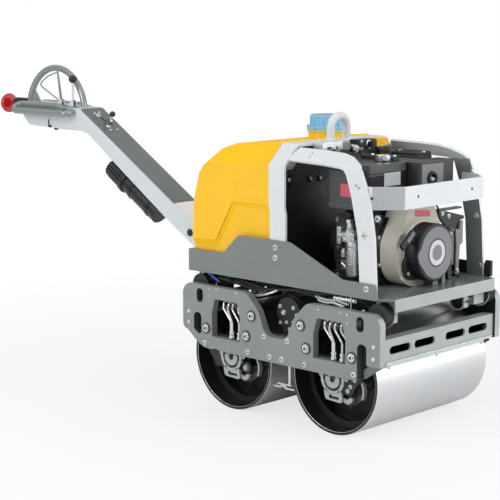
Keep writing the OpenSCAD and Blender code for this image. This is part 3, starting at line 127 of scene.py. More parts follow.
finishLooks = {
    "plate_paint": {"colour": (0.245, 0.265, 0.255), "rough": 0.34, "mottle": 0.03,
        "edge": (0.5, 0.53, 0.52), "wear": 0.75},
    "panel_paint": {"colour": (0.20, 0.215, 0.208), "rough": 0.32, "mottle": 0.03,
        "edge": (0.5, 0.52, 0.51)},
    "guard_paint": {"colour": (0.715, 0.73, 0.737), "rough": 0.32, "mottle": 0.02,
        "edge": (0.86, 0.87, 0.88)},
    # a darker copy of the guard grey, as painted shade on the bumper's chamfered ends; also the plain grey of
    # the filter strap
    "strap_grey_and_bumper_shade": {"colour": (0.44, 0.465, 0.475), "rough": 0.3, "edge": (0.8, 0.82, 0.83)},
    # a darker copy of the guard grey, as painted shade on the guards' inward faces
    "guard_inner_shade": {"colour": (0.23, 0.25, 0.248), "rough": 0.4, "edge": (0.5, 0.52, 0.52)},
    # The deck's one grey in two copies: a darker one as painted shade on the deck top and hook webs, and a
    # lighter one as painted light on faces that look ahead, which is also the plain light grey of some
    # brackets and plates
    "deck_paint": {"colour": (0.15, 0.178, 0.168), "rough": 0.2, "roughSpread": 0.02, "mottle": 0.02,
        "peel": 0.0, "edge": (0.4, 0.42, 0.41)},
    "fascia_grey_and_lit_front": {"colour": (0.42, 0.45, 0.44), "rough": 0.4, "edge": (0.7, 0.72, 0.71)},
    "drawbar_paint": {"colour": (0.66, 0.70, 0.71), "rough": 0.32, "mottle": 0.03,
        "edge": (0.82, 0.84, 0.84)},
    "rail_paint": {"colour": (0.30, 0.33, 0.325), "metal": 0.4, "rough": 0.22, "roughSpread": 0.02,
        "mottle": 0.03, "peel": 0.04, "edge": (0.6, 0.62, 0.62)},
    # dark grey, also put on the drawbar's cover and the webs beside the head as painted shade on top faces
    "dark_paint": {"colour": (0.135, 0.155, 0.148), "rough": 0.4, "edge": (0.3, 0.31, 0.31)},
    "fuel_paint": {"colour": (0.06, 0.065, 0.068), "rough": 0.34, "edge": (0.14, 0.15, 0.15)},
    # black paint, also put on inward faces, undersides, slot backs, holes and the tank top as painted shade
    "black_paint": {"colour": (0.014, 0.014, 0.015), "rough": 0.42, "mottle": 0.2,
        "edge": (0.09, 0.09, 0.09)},
    "black_gloss": {"colour": (0.012, 0.012, 0.013), "rough": 0.16, "roughSpread": 0.04, "mottle": 0.1,
        "peel": 0.04},
    "drum_steel": {"colour": (0.78, 0.785, 0.79), "metal": 1.0, "rough": 0.3, "roughSpread": 0.02,
        "cloud": 1.4, "stretch": (1, 30, 1), "mottle": 0.02, "grain": 50, "peel": 0.02, "depth": 0.1},
    "bright_steel": {"colour": (0.70, 0.71, 0.71), "metal": 0.8, "rough": 0.26, "grain": 300, "peel": 0.08},
    "line_steel": {"colour": (0.74, 0.75, 0.75), "metal": 0.85, "rough": 0.2, "grain": 300, "peel": 0.06},
    "gloss_plastic": {"colour": (0.02, 0.02, 0.022), "rough": 0.22, "roughSpread": 0.05, "mottle": 0.15,
        "peel": 0.06},
    "zinc": {"colour": (0.72, 0.74, 0.74), "metal": 0.6, "rough": 0.24, "grain": 300, "peel": 0.06},
    # dark cast iron, also put on the slot walls of the side plates as painted shade
    "cast_iron": {"colour": (0.06, 0.065, 0.065), "rough": 0.5, "mottle": 0.15, "grain": 260,
        "peel": 0.35, "depth": 0.6, "edge": (0.2, 0.2, 0.2)},
    "light_cast": {"colour": (0.42, 0.44, 0.43), "metal": 0.3, "rough": 0.46, "mottle": 0.12,
        "grain": 240, "peel": 0.35, "depth": 0.6, "edge": (0.62, 0.64, 0.63)},
    "block_paint": {"colour": (0.045, 0.047, 0.047), "rough": 0.48, "grain": 260, "peel": 0.3,
        "edge": (0.16, 0.16, 0.16)},
    "engine_cast": {"colour": (0.74, 0.75, 0.75), "metal": 0.6, "rough": 0.34, "mottle": 0.06,
        "grain": 260, "peel": 0.1, "depth": 0.4, "edge": (0.6, 0.6, 0.6)},
    "cowl_paint": {"colour": (0.50, 0.475, 0.40), "rough": 0.22, "mottle": 0.05, "edge": (0.6, 0.58, 0.5),
        "sockets": {"Coat Weight": 0.4, "Coat Roughness": 0.12}},
    "muffler_paint": {"colour": (0.04, 0.039, 0.039), "rough": 0.42, "mottle": 0.15, "grain": 380,
        "peel": 0.2, "edge": (0.14, 0.14, 0.14)},
    "tank_yellow": {"colour": (0.95, 0.54, 0.012), "rough": 0.38, "mottle": 0.03, "grain": 500,
        "peel": 0.14, "sockets": {"Subsurface Weight": 0.08, "Subsurface Scale": 0.01}},
    # a deeper copy of the tank yellow, as painted shade on its upward slopes and the recess lip
    "tank_shaded_yellow": {"colour": (1.0, 0.55, 0.001), "rough": 0.5, "sockets": {"Specular IOR Level": 0.25},
        "mottle": 0.03, "grain": 500, "peel": 0.14},
    "cap_blue": {"colour": (0.25, 0.56, 0.82), "rough": 0.22, "mottle": 0.05, "peel": 0.05,
        "sockets": {"Subsurface Weight": 0.3, "Subsurface Scale": 0.02, "Coat Weight": 0.3}},
    "seal_green": {"colour": (0.45, 0.62, 0.30), "rough": 0.4},
    "hose_blue": {"colour": (0.02, 0.10, 0.5), "rough": 0.35},
    # black plastic, also the painted shadow ring round the recoil starter's white ring
    "black_plastic": {"colour": (0.016, 0.016, 0.017), "rough": 0.42, "mottle": 0.2, "grain": 600,
        "peel": 0.15},
    "label_white": {"colour": (0.86, 0.84, 0.86), "rough": 0.4, "mottle": 0.02},
    "white_plastic": {"colour": (0.62, 0.605, 0.62), "rough": 0.4, "mottle": 0.03, "grain": 500},
    "grey_plastic": {"colour": (0.20, 0.203, 0.218), "rough": 0.36, "mottle": 0.05, "grain": 500,
        "peel": 0.1},
    "stop_red": {"colour": (0.58, 0.008, 0.02), "rough": 0.28, "mottle": 0.08, "peel": 0.04,
        "sockets": {"Coat Weight": 0.3}},
    "pale_red": {"colour": (0.62, 0.10, 0.14), "rough": 0.35, "mottle": 0.04, "peel": 0.04},
    "chrome": {"colour": (0.82, 0.82, 0.82), "metal": 1.0, "rough": 0.12, "roughSpread": 0.05,
        "peel": 0.03},
    "rubber": {"colour": (0.016, 0.016, 0.016), "rough": 0.6, "mottle": 0.25, "grain": 520, "peel": 0.3},
}
finishes = {name: makeFinish(name, look) for name, look in finishLooks.items()}
print("finishes made,", len(finishes))


# ways of making pieces, sizes in mm

making = {"sharpAngle": 32, "creaseAngle": 34, "flatAngle": 0.6, "solidGap": 0.02, "gap": 0.01}  # degrees, mm


def soften(bm, width, segments=2):
    # rounds every sharp edge, and marks the new faces as edge
    marked = bm.faces.layers.float.new("edge")
    limit = math.radians(making["sharpAngle"])
    sharp = [e for e in bm.edges if e.is_manifold and e.calc_face_angle(0) > limit]
    if width and sharp:
        made = bmesh.ops.bevel(bm, geom=sharp, offset=width, offset_type="OFFSET", segments=segments,
                               profile=0.5, affect="EDGES", clamp_overlap=True, miter_outer="ARC")
        for face in made["faces"]:
            face[marked] = 1


def addPiece(name, mesh, body, finish, replaced=(), others=()):
    # others: pairs of a finish and a test of the middle of a face in mm
    mesh.materials.clear()
    mesh.materials.append(finishes[finish])
    for number, (other, chosen) in enumerate(others, 1):
        mesh.materials.append(finishes[other])
        for face in mesh.polygons:
            if chosen(face.center / mm, face.normal):
                face.material_index = number
    piece = bpy.data.objects.new(name, mesh)
    bpy.context.scene.collection.objects.link(piece)
    piece.modifiers.new("weighted", "WEIGHTED_NORMAL").keep_sharp = True
    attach(piece, body)
    if replaced:
        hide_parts(*replaced)
    return piece


def meshFrom(bm, name, crease=making["creaseAngle"]):
    mesh = bpy.data.meshes.new(name)
    bm.to_mesh(mesh)
    bm.free()
    mesh.shade_smooth()
    mesh.set_sharp_from_angle(angle=math.radians(crease))
    return mesh


def dressNode(node, finish, width=1.2, segments=2, others=(), cuts=()):
    # the CAD solid with its doubles merged, flat faces joined and edges rounded
    bm = bmesh.new()
    bm.from_mesh(frame["nodes"][node].data)
    bmesh.ops.remove_doubles(bm, verts=bm.verts, dist=making["solidGap"] * mm)
    flat = math.radians(making["flatAngle"])
    bmesh.ops.dissolve_limit(bm, angle_limit=flat, verts=bm.verts, edges=bm.edges)
    soften(bm, width * mm, segments)
    for place, direction in cuts:  # lines where one finish ends
        bmesh.ops.bisect_plane(bm, geom=bm.verts[:] + bm.edges[:] + bm.faces[:],
            plane_co=Vector(place) * mm, plane_no=direction)
    mesh = meshFrom(bm, node)
    return addPiece(node + "_dressed", mesh, frame["nodes"][node]["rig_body"], finish, [node], others)


def addBox(bm, low, high):
    ends = [bm.verts.new((x, y, z)) for x in (low[0], high[0]) for y in (low[1], high[1])
        for z in (low[2], high[2])]
    for face in ((0, 1, 3, 2), (4, 6, 7, 5), (0, 4, 5, 1), (2, 3, 7, 6), (0, 2, 6, 4), (1, 5, 7, 3)):
        bm.faces.new([ends[i] for i in face])


def addPrism(bm, outline, axis, low, high):
    turned = {"X": lambda a, b, h: (h, a, b), "Y": lambda a, b, h: (a, h, b), "Z": lambda a, b,
        h: (a, b, h)}[axis]
    rings = [[bm.verts.new(turned(a, b, h)) for a, b in outline] for h in (low, high)]
    for i in range(len(outline)):
        after = (i + 1) % len(outline)
        bm.faces.new((rings[0][i], rings[0][after], rings[1][after], rings[1][i]))
    bm.faces.new(rings[0])
    bm.faces.new(rings[1])


def addLathe(bm, profile, centre, axis, steps=48, hollow=False):
    # profile: pairs of a place along the axis and a radius; hollow joins its last ring to its first
    turn, centre = Vector(axis).to_track_quat("Z", "Y"), Vector(centre)
    rings = []
    for along, radius in profile:
        if radius == 0:
            rings.append([bm.verts.new(centre + turn @ Vector((0, 0, along)))])
            continue
        angles = [math.tau * i / steps for i in range(steps)]
        rings.append([bm.verts.new(centre + turn @ Vector((radius * math.cos(a), radius * math.sin(a),
            along))) for a in angles])
    pairs = list(zip(rings, rings[1:]))
    if hollow:
        pairs.append((rings[-1], rings[0]))
    for first, second in pairs:
        for i in range(steps):
            after = (i + 1) % steps
            corners = [first[i % len(first)], first[after % len(first)], second[after % len(second)],
                       second[i % len(second)]]
            bm.faces.new([v for k, v in enumerate(corners) if v not in corners[:k]])
    if not hollow:
        for ring in (rings[0], rings[-1]):
            if len(ring) > 1:
                bm.faces.new(ring)


def shape(*parts):
    # parts: a way of adding to a mesh, and what it takes
    bm = bmesh.new()
    for add, *sizes in parts:
        add(bm, *sizes)
    return bm


def makePiece(name, bm, finish, width=0.8, segments=2, replaced=(), place=None, others=(), body="chassis"):
    bmesh.ops.remove_doubles(bm, verts=bm.verts, dist=making["gap"])
    bmesh.ops.recalc_face_normals(bm, faces=bm.faces)
    if place:
        bmesh.ops.transform(bm, matrix=place, verts=bm.verts)
    bmesh.ops.scale(bm, vec=(mm, mm, mm), verts=bm.verts)
    soften(bm, width * mm, segments)
    return addPiece(name, meshFrom(bm, name), body, finish, replaced, others)


def carve(bm, tool):
    # takes the tool's shape out of bm
    holders = []
    for part in (bm, tool):
        bmesh.ops.recalc_face_normals(part, faces=part.faces)
        mesh = bpy.data.meshes.new("carve")
        part.to_mesh(mesh)
        part.free()
        holders.append(bpy.data.objects.new("carve", mesh))
        bpy.context.scene.collection.objects.link(holders[-1])
    cut = holders[0].modifiers.new("cut", "BOOLEAN")
    cut.object, cut.operation, cut.solver = holders[1], "DIFFERENCE", "EXACT"
    result = bmesh.new()
    result.from_mesh(bpy.data.meshes.new_from_object(
        holders[0].evaluated_get(bpy.context.evaluated_depsgraph_get())))
    for holder in holders:
        bpy.data.objects.remove(holder)
    return result


def mirrored(points):
    # the same places and directions on the other side
    return points + [((x, -y, z), (a, -b, c), size) for (x, y, z), (a, b, c), size in points]


barRise = math.radians(31.63)


def barPoint(u, y, w):
    # a place in the drawbar's own frame, u along it from the pivot and w square to its top
    return Vector((-560 - u * math.cos(barRise) + w * math.sin(barRise), y,
                   487 + u * math.sin(barRise) + w * math.cos(barRise)))


barMatrix = Matrix.Translation(barPoint(0, 0, 0)) @ Matrix((
    (-math.cos(barRise), 0, math.sin(barRise), 0), (0, 1, 0, 0),
    (math.sin(barRise), 0, math.cos(barRise), 0), (0, 0, 0, 1)))


# node trees for what repeats or follows a path

def newTree(name, sockets):
    tree = bpy.data.node_groups.new(name, "GeometryNodeTree")
    tree.interface.new_socket(name="Geometry", in_out="INPUT", socket_type="NodeSocketGeometry")
    for title, kind in sockets:
        tree.interface.new_socket(name=title, in_out="INPUT", socket_type="NodeSocket" + kind)
    tree.interface.new_socket(name="Finish", in_out="INPUT", socket_type="NodeSocketMaterial")
    tree.interface.new_socket(name="Geometry", in_out="OUTPUT", socket_type="NodeSocketGeometry")
    return tree, tree.nodes.new("NodeGroupInput").outputs


def endTree(tree, geometry, given):
    real = addNode(tree, "GeometryNodeRealizeInstances", {"Geometry": geometry})["Geometry"]
    painted = addNode(tree, "GeometryNodeSetMaterial",
        {"Geometry": real, "Material": given["Finish"]})["Geometry"]
    addNode(tree, "NodeGroupOutput", {"Geometry": painted})


def bakeTree(tree, mesh, finish, **values):
    holder = bpy.data.objects.new("holder", mesh)
    bpy.context.scene.collection.objects.link(holder)
    nodes = holder.modifiers.new("nodes", "NODES")
    nodes.node_group = tree
    values["Finish"] = finishes[finish]
    for item in tree.interface.items_tree:
        if item.in_out == "INPUT" and item.name in values:
            nodes[item.identifier] = values[item.name]
    baked = bpy.data.meshes.new_from_object(holder.evaluated_get(bpy.context.evaluated_depsgraph_get()))
    bpy.data.objects.remove(holder)
    return baked


def makeBoltTree():
    tree, given = newTree("bolts", [("Head height", "Float"), ("Turn seed", "Int")])
    washer = addNode(tree, "GeometryNodeMeshCone", {"Vertices": 28, "Radius Top": 0.93,
        "Radius Bottom": 1.0, "Depth": 0.2})["Mesh"]
    head = addNode(tree, "GeometryNodeMeshCone", {"Vertices": 24, "Radius Top": 0.62, "Radius Bottom": 0.74,
                                                  "Depth": given["Head height"]})["Mesh"]
    socket = addNode(tree, "GeometryNodeMeshCone", {"Vertices": 6, "Radius Top": 0.42,
        "Radius Bottom": 0.36, "Depth": 1.0})["Mesh"]
    above = addNode(tree, "ShaderNodeMath", {0: given["Head height"], 1: 0.35},
        operation="SUBTRACT")["Value"]
    above = addNode(tree, "ShaderNodeCombineXYZ", {"Z": above})["Vector"]
    socket = addNode(tree, "GeometryNodeTransform", {"Geometry": socket, "Translation": above})["Geometry"]
    head = addNode(tree, "GeometryNodeMeshBoolean", {"Mesh 1": head, "Mesh 2": socket},
        operation="DIFFERENCE")["Mesh"]
    bolt = addNode(tree, "GeometryNodeJoinGeometry", {"Geometry": [washer, head]})["Geometry"]
    turn = addNode(tree, "GeometryNodeInputNamedAttribute", {"Name": "turn"},
        data_type="FLOAT_VECTOR")["Attribute"]
    size = addNode(tree, "GeometryNodeInputNamedAttribute", {"Name": "size"},
        data_type="FLOAT")["Attribute"]
    facing = addNode(tree, "FunctionNodeEulerToRotation", {"Euler": turn})["Rotation"]
    placed = addNode(tree, "GeometryNodeInstanceOnPoints", {
        "Points": given["Geometry"], "Instance": bolt, "Rotation": facing, "Scale": size})["Instances"]
    spin = addNode(tree, "FunctionNodeRandomValue", {2: 0.0, 3: math.pi / 3, "Seed": given["Turn seed"]},
                   data_type="FLOAT")[1]
    about = addNode(tree, "ShaderNodeCombineXYZ", {"Z": spin})["Vector"]
    about = addNode(tree, "FunctionNodeEulerToRotation", {"Euler": about})["Rotation"]
    placed = addNode(tree, "GeometryNodeRotateInstances",
        {"Instances": placed, "Rotation": about})["Instances"]
    endTree(tree, placed, given)
    return tree


def makeHoseTree():
    tree, given = newTree("hoses", [("Tube radius", "Float"), ("Bend radius", "Float"), ("Sides", "Int")])
    curve = addNode(tree, "GeometryNodeMeshToCurve", {"Mesh": given["Geometry"]})["Curve"]
    curve = addNode(tree, "GeometryNodeFilletCurve",
        {"Curve": curve, "Count": 7, "Radius": given["Bend radius"], "Limit Radius": True},
        mode="POLY")["Curve"]
    ring = addNode(tree, "GeometryNodeCurvePrimitiveCircle", {"Resolution": given["Sides"],
                                                              "Radius": given["Tube radius"]})["Curve"]
    tube = addNode(tree, "GeometryNodeCurveToMesh", {"Curve": curve, "Profile Curve": ring,
        "Fill Caps": True})["Mesh"]
    endTree(tree, tube, given)
    return tree


def makeRowTree():
    # repeats the shape along a line and turns each one on from the last
    tree, given = newTree("row", [("Count", "Int"), ("Step", "Vector"), ("Turn", "Float")])
    spots = addNode(tree, "GeometryNodeMeshLine", {"Count": given["Count"],
        "Offset": given["Step"]})["Mesh"]
    index = addNode(tree, "GeometryNodeInputIndex")["Index"]
    angle = addNode(tree, "ShaderNodeMath", {0: index, 1: given["Turn"]}, operation="MULTIPLY")["Value"]
    about = addNode(tree, "ShaderNodeCombineXYZ", {"Z": angle})["Vector"]
    about = addNode(tree, "FunctionNodeEulerToRotation", {"Euler": about})["Rotation"]
    placed = addNode(tree, "GeometryNodeInstanceOnPoints", {
        "Points": spots, "Instance": given["Geometry"], "Rotation": about})["Instances"]
    endTree(tree, placed, given)
    return tree


boltTree, hoseTree, rowTree = makeBoltTree(), makeHoseTree(), makeRowTree()


def finishBaked(name, mesh, body, finish, replaced=(), crease=making["creaseAngle"], place=None, width=0):
    bm = bmesh.new()
    bm.from_mesh(mesh)
    bmesh.ops.remove_doubles(bm, verts=bm.verts, dist=making["gap"] * mm)
    bmesh.ops.recalc_face_normals(bm, faces=bm.faces)
    if place:
        bmesh.ops.transform(bm, matrix=place, verts=bm.verts)
    soften(bm, width * mm)
    return addPiece(name, meshFrom(bm, name, crease), body, finish, replaced)


def addBolts(name, points, finish="zinc", height=0.55, replaced=(), seed=3, body="chassis"):
    # points: place in mm, direction and washer radius in mm
    cloud = bpy.data.meshes.new(name)
    cloud.from_pydata([Vector(p[0]) * mm for p in points], [], [])
    cloud.attributes.new("turn", "FLOAT_VECTOR", "POINT")
    cloud.attributes.new("size", "FLOAT", "POINT")
    for i, (place, direction, radius) in enumerate(points):
        cloud.attributes["turn"].data[i].vector = Vector(direction).to_track_quat("Z", "Y").to_euler()
        cloud.attributes["size"].data[i].value = radius * mm
    baked = bakeTree(boltTree, cloud, finish, **{"Head height": height, "Turn seed": seed})
    return finishBaked(name, baked, body, finish, replaced)


def addHoses(name, paths, radius, finish="rubber", bend=18, sides=14, replaced=(), body="chassis"):
    verts, edges = [], []
    for path in paths:
        edges += [(len(verts) + i, len(verts) + i + 1) for i in range(len(path) - 1)]
        verts += [Vector(p) * mm for p in path]
    lines = bpy.data.meshes.new(name)
    lines.from_pydata(verts, edges, [])
    sizes = {"Tube radius": radius * mm, "Bend radius": bend * mm, "Sides": sides}
    baked = bakeTree(hoseTree, lines, finish, **sizes)
    return finishBaked(name, baked, body, finish, replaced, crease=50)


def addRow(name, bm, count, step, finish, width=0, place=None, turn=0.0, body="chassis"):
    # the shape in bm, repeated
    bmesh.ops.recalc_face_normals(bm, faces=bm.faces)
    bmesh.ops.scale(bm, vec=(mm, mm, mm), verts=bm.verts)
    baked = bakeTree(rowTree, meshFrom(bm, name), finish, Count=count, Step=Vector(step) * mm, Turn=turn)
    return finishBaked(name, baked, body, finish, width=width, place=place)


def addRing(name, bm, count, centre, axis, finish, width=0, body="chassis"):
    # the shape in bm, drawn about Z at the origin, repeated round an axis
    turned = Vector(axis).to_track_quat("Z", "Y").to_matrix().to_4x4()
    place = Matrix.Translation(Vector(centre) * mm) @ turned
    return addRow(name, bm, count, (0, 0, 0), finish, width, place, math.tau / count, body)


# frame, drums and deck

axles = {"x": 253, "z": 200, "apart": 506}
boreRadius, plateFace = 188.5, 358  # inside the drum shells, and the outer face of a side plate


def insideDrum(middle, x):
    return math.hypot(middle.x - x, middle.z - axles["z"]) < boreRadius


dressing = {
    "scrapers": ("bright_steel", 1), "sprinkler_pipes": ("dark_paint", 1.5),
    "centre_beam": ("cast_iron", 2), "exciter_housing": ("cast_iron", 2),
    "exciter_covers": ("black_paint", 2), "exciter_motor": ("cast_iron", 2), "bearings": ("cast_iron", 1.5),
    "exciter_shaft": ("bright_steel", 1), "drum_carriers": ("black_paint", 3),
    "drive_motors": ("black_paint", 2), "front_axle": ("cast_iron", 1.5), "rear_axle": ("cast_iron", 1.5),
    "mount_brackets": ("fascia_grey_and_lit_front", 1.5), "guard_hoop": ("guard_paint", 2), "water_cap": ("cap_blue", 3),
    "hydraulic_tank": ("dark_paint", 3), "battery": ("black_plastic", 3), "bulkhead": ("black_paint", 1.5),
    "engine_block": ("block_paint", 2), "crankshaft": ("bright_steel", 1), "fuel_tank": ("fuel_paint", 9),
    "fuel_cap": ("chrome", 3), "air_filter": ("black_plastic", 8), "hydraulic_pump": ("cast_iron", 3),
    "ignition_key": ("black_plastic", 1), "drawbar_bracket": ("plate_paint", 2),
    "drawbar_pin": ("bright_steel", 1.5), "drawbar_channel": ("drawbar_paint", 3),
    # the drawbar cover takes the dark grey as painted shade on its top; it is one paint with the light
    # channel
    "drawbar_cover": ("dark_paint", 1.5), "drawbar_head": ("drawbar_paint", 3),
    "document_tube": ("gloss_plastic", 2), "document_cap": ("gloss_plastic", 1.2),
    "travel_lever": ("rail_paint", 0.6), "stop_button": ("stop_red", 1.5), "button_boot": ("rubber", 0),
}
for node, (finish, width) in dressing.items():
    dressNode(node, finish, width)
for end in ("left", "right"):
    sign = 1 if end == "left" else -1
    dressNode(f"side_plate_{end}", "plate_paint", 2.2,
        # inward faces black, as painted shade
        others=[("black_paint", lambda m, n: n.y * sign < -0.5),
        # walls of the slots and hook in dark cast iron, as painted shade
        ("cast_iron", lambda m, n: abs(n.y) < 0.3 and 380 < abs(m.x) < 448 and 229 < m.z < 462),
        # front end faces in the lighter grey, as painted light
        ("fascia_grey_and_lit_front", lambda m, n: n.x > 0.7 and m.x > 420)])
    dressNode(f"side_panel_{end}", "panel_paint", 1.5,
        # inward faces black, as painted shade
        others=[("black_paint", lambda m, n: n.y * sign < -0.5 and abs(m.y) > 300)])
# upward slopes of the tank in the deeper yellow, as painted shade
dressNode("water_tank", "tank_yellow", 4, others=[("tank_shaded_yellow", lambda m, n: n.z > 0.35 and m.z > 700)])
# the cross members take the lighter grey, as painted light
dressNode("cross_members", "fascia_grey_and_lit_front", 5.5, 4,
    # inward faces black, as painted shade
    others=[("black_paint", lambda m, n: n.x * m.x < 0 and abs(n.x) > 0.5)])
# deck top in the darker grey and underside in black, both as painted shade
dressNode("deck", "deck_paint", 2, others=[("black_paint", lambda m, n: n.z < -0.5),
    # front faces in the lighter grey, as painted light
    ("fascia_grey_and_lit_front", lambda m, n: n.x > 0.5)])
dressNode("vibration_lever", "black_plastic", 0.6, others=[("zinc", lambda m, n: 1122 < m.z < 1192)])
dressNode("throttle_lever", "black_plastic", 0.6, others=[("zinc", lambda m, n: m.z < 1052)])
dressNode("front_drum", "drum_steel", 1.5, others=[("black_paint", lambda m, n: insideDrum(m, axles["x"]))])
dressNode("rear_drum", "drum_steel", 1.5, others=[("black_paint", lambda m, n: insideDrum(m, -axles["x"]))])
# the guards' inward faces below the bar in a darker grey, as painted shade
dressNode("front_guards", "guard_paint", 2, others=[("guard_inner_shade",
    lambda m, n: (n.y < -0.5 if m.y > 0 else n.y > 0.5) and m.z < 960)])
dressNode("cooling_cowl", "cowl_paint", 5, cuts=[((311, 0, 0), ahead), ((0, 0, 768), up)],
    others=[("black_plastic", lambda m, n: m.y > 141),
    ("black_paint", lambda m, n: m.x < 311 and m.z < 768 and m.y < 60)])
muffler = dressNode("muffler", "muffler_paint", 8)
for vertex in muffler.data.vertices:  # the box sits lower beside the filter
    if vertex.co.z > 0.93:
        vertex.co.z -= 0.016
dressNode("switch_box", "black_plastic", 2.5, others=[("engine_cast", lambda m, n: m.y < -50),
    ("tank_yellow", lambda m, n: m.y > 136)])
print("frame dressed")

# bolts of the side plates, big ones on dark rings
bigPlaces = [(149, 305), (362, 305), (122, 385)]
smallPlaces = [(142, 245), (371, 246), (30, 245), (58, 317)]
plateBolts = [((s * x, -359.9, z), right, 16.5) for x, z in bigPlaces for s in (1, -1)]
plateBolts += [((s * x, -358.2, z), right, 11) for x, z in smallPlaces for s in (1, -1)]
plateBolts += [((x, -327, z), right, 12) for x, z in ((398.7, 549), (-31, 648), (-31, 610))]
addBolts("plate_bolts", mirrored(plateBolts), replaced=["bolts"])
addBolts("end_bolts", mirrored([((x, -358, z), right, 8) for x in (458, -458) for z in (358, 315)]), "zinc",
    0.3, seed=7)
tinyPlaces = [(-347, 458), (-306, 460), (-347, 430), (-202, 461), (305, 457), (339, 453), (340, 424),
    (205, 453)]
addBolts("plate_screws", mirrored([((x, -358.2, z), right, 4.6) for x, z in tinyPlaces]), seed=5)
bm = bmesh.new()
for x, z in bigPlaces:
    for sx in (1, -1):
        for sy in (1, -1):
            addLathe(bm, [(0, 21.5), (3, 21.5), (4.5, 20), (4.5, 12), (0, 12)], (sx * x, sy * plateFace, z),
                (0, sy, 0), 40, True)
makePiece("plate_rings", bm, "cast_iron", 0)

# lines, fittings and nuts in the windows
lines, nuts = [], bmesh.new()
for shift in (0, -axles["apart"]):
    for path in ([(219, -230, 444), (219, -304, 440), (220, -338, 410), (222, -342, 390), (261, -342, 346),
        (262, -342, 300)], [(245, -230, 444), (245, -304, 440), (246, -338, 408), (244, -342, 388),
        (268, -342, 343), (269, -342, 300)], [(269, -230, 444), (269, -304, 440), (270, -338, 410),
        (268, -342, 392), (305, -342, 346), (306, -342, 300)],
        [(296, -230, 444), (296, -304, 440), (297, -338, 408), (297, -340, 388), (324, -338, 356),
        (326, -334, 322)]):
        lines.append([(x + shift, y, z) for x, y, z in path])
        top = (path[0][0] + shift, -326, 417)
        addLathe(nuts, [(-8, 7.5), (-5, 9), (5, 9), (8, 7.5)], top, (0, -0.6, -0.8), 6)
    for x in (265.5, 306):
        addLathe(nuts, [(0, 8.5), (2, 11), (14, 11), (15.5, 8.5), (20, 8.5), (21, 10.5), (30, 10.5),
            (32, 6.5)], (x + shift, -341, 278), up, 6)
addHoses("window_lines", lines, 4.7, "line_steel", 18, replaced=["drive_pipes"])
makePiece("window_nuts", nuts, "line_steel", 0.6)

# castings that show below the plates in the drum ends
for end, shift in (("front", 0), ("rear", -axles["apart"])):
    middle = axles["x"] + shift
    for side, hand in ((-1, "right"), (1, "left")):
        low, high = sorted((side * 321, side * 335))
        bm = bmesh.new()
        arc = [math.radians(a) for a in range(162, 379, 9)]
        for outer, inner in ((54, 43), (33, 12)):
            ring = [(middle + outer * math.cos(a), 205 + outer * math.sin(a)) for a in arc]
            ring += [(middle + inner * math.cos(a), 205 + inner * math.sin(a)) for a in reversed(arc)]
            addPrism(bm, ring, "Y", low, high)
        lug = [(219, 138), (226, 128), (292, 124), (301, 133), (297, 160), (284, 170), (276, 158),
            (262, 153), (246, 153), (232, 158), (224, 170), (214, 160)]
        addPrism(bm, [(x + shift, z) for x, z in lug], "Y", low, high)
        slot = bmesh.new()
        addPrism(slot, [(x + shift, z) for x, z in ((240, 134), (283, 134), (286, 139), (283, 144),
            (250, 144), (247, 150), (240, 150), (237, 142))], "Y", low - 5, high + 5)
        bm = carve(bm, slot)
        makePiece(f"{end}_hub_casting_{hand}", bm, "light_cast", 1.6)
        bm = bmesh.new()
        hub = (320 + shift, side * 309, 172)
        addLathe(bm, [(0, 24), (8, 24), (12, 21), (12, 15), (9, 15), (9, 13), (17, 12), (21, 8), (22, 0)],
            hub, (0, side, 0))
        makePiece(f"{end}_hub_cap_{hand}", bm, "light_cast", 0.6,
            others=[("black_paint", lambda m, n: math.hypot(m.x - hub[0], m.z - hub[2]) > 14)])
        bm = bmesh.new()
        arc = [math.radians(a) for a in range(-24, 56, 8)]
        ring = [(318 + shift + 71 * math.cos(a), 176 + 71 * math.sin(a)) for a in arc]
        ring += [(318 + shift + 64 * math.cos(a), 176 + 64 * math.sin(a)) for a in reversed(arc)]
        addPrism(bm, ring, "Y", *sorted((side * 304, side * 322)))
        addPrism(bm, [(x + shift, z) for x, z in ((296, 128), (318, 122), (336, 132), (342, 146),
            (330, 150), (316, 138), (300, 142))], "Y", *sorted((side * 312, side * 326)))
        makePiece(f"{end}_motor_arc_{hand}", bm, "light_cast", 1.4)
        bm = bmesh.new()
        arc = [math.radians(a) for a in range(-84, -14, 7)]
        ring = [(283 + shift + 118 * math.cos(a), 222 + 112 * math.sin(a)) for a in arc]
        ring += [(283 + shift + 98 * math.cos(a), 222 + 92 * math.sin(a)) for a in reversed(arc)]
        addPrism(bm, ring, "Y", *sorted((side * 284, side * 304.8)))
        makePiece(f"{end}_cast_rim_{hand}", bm, "block_paint", 2)
        drum = bmesh.new()
        addLathe(drum, [(0, 189), (-side * 5, 189), (-side * 5, 166), (0, 164)],
            (middle, side * 252, axles["z"]), left, 96, True)
        makePiece(f"{end}_disc_ring_{hand}", drum, "black_paint", 0.8, body=f"{end}_drum")
    addBolts(f"{end}_hub_bolts", mirrored([((x + shift, y, z), right, 6)
        for x, y, z in ((211, -334.5, 190), (296, -334.5, 186), (236, -329, 214),
        (270, -329, 214))] + [((x + shift, -328.5, z), right, 8)
        for x, z in ((196, 213), (313, 213), (333, 190), (352, 216))[:2 if shift else 4]]),
        seed=end == "rear")
    addBolts(f"{end}_disc_bolts", mirrored([((middle + 140 * math.cos(a), -175,
        axles["z"] + 140 * math.sin(a)), right, 11) for a in (math.tau * i / 10 for i in range(10))]),
        finish="cast_iron", body=f"{end}_drum")

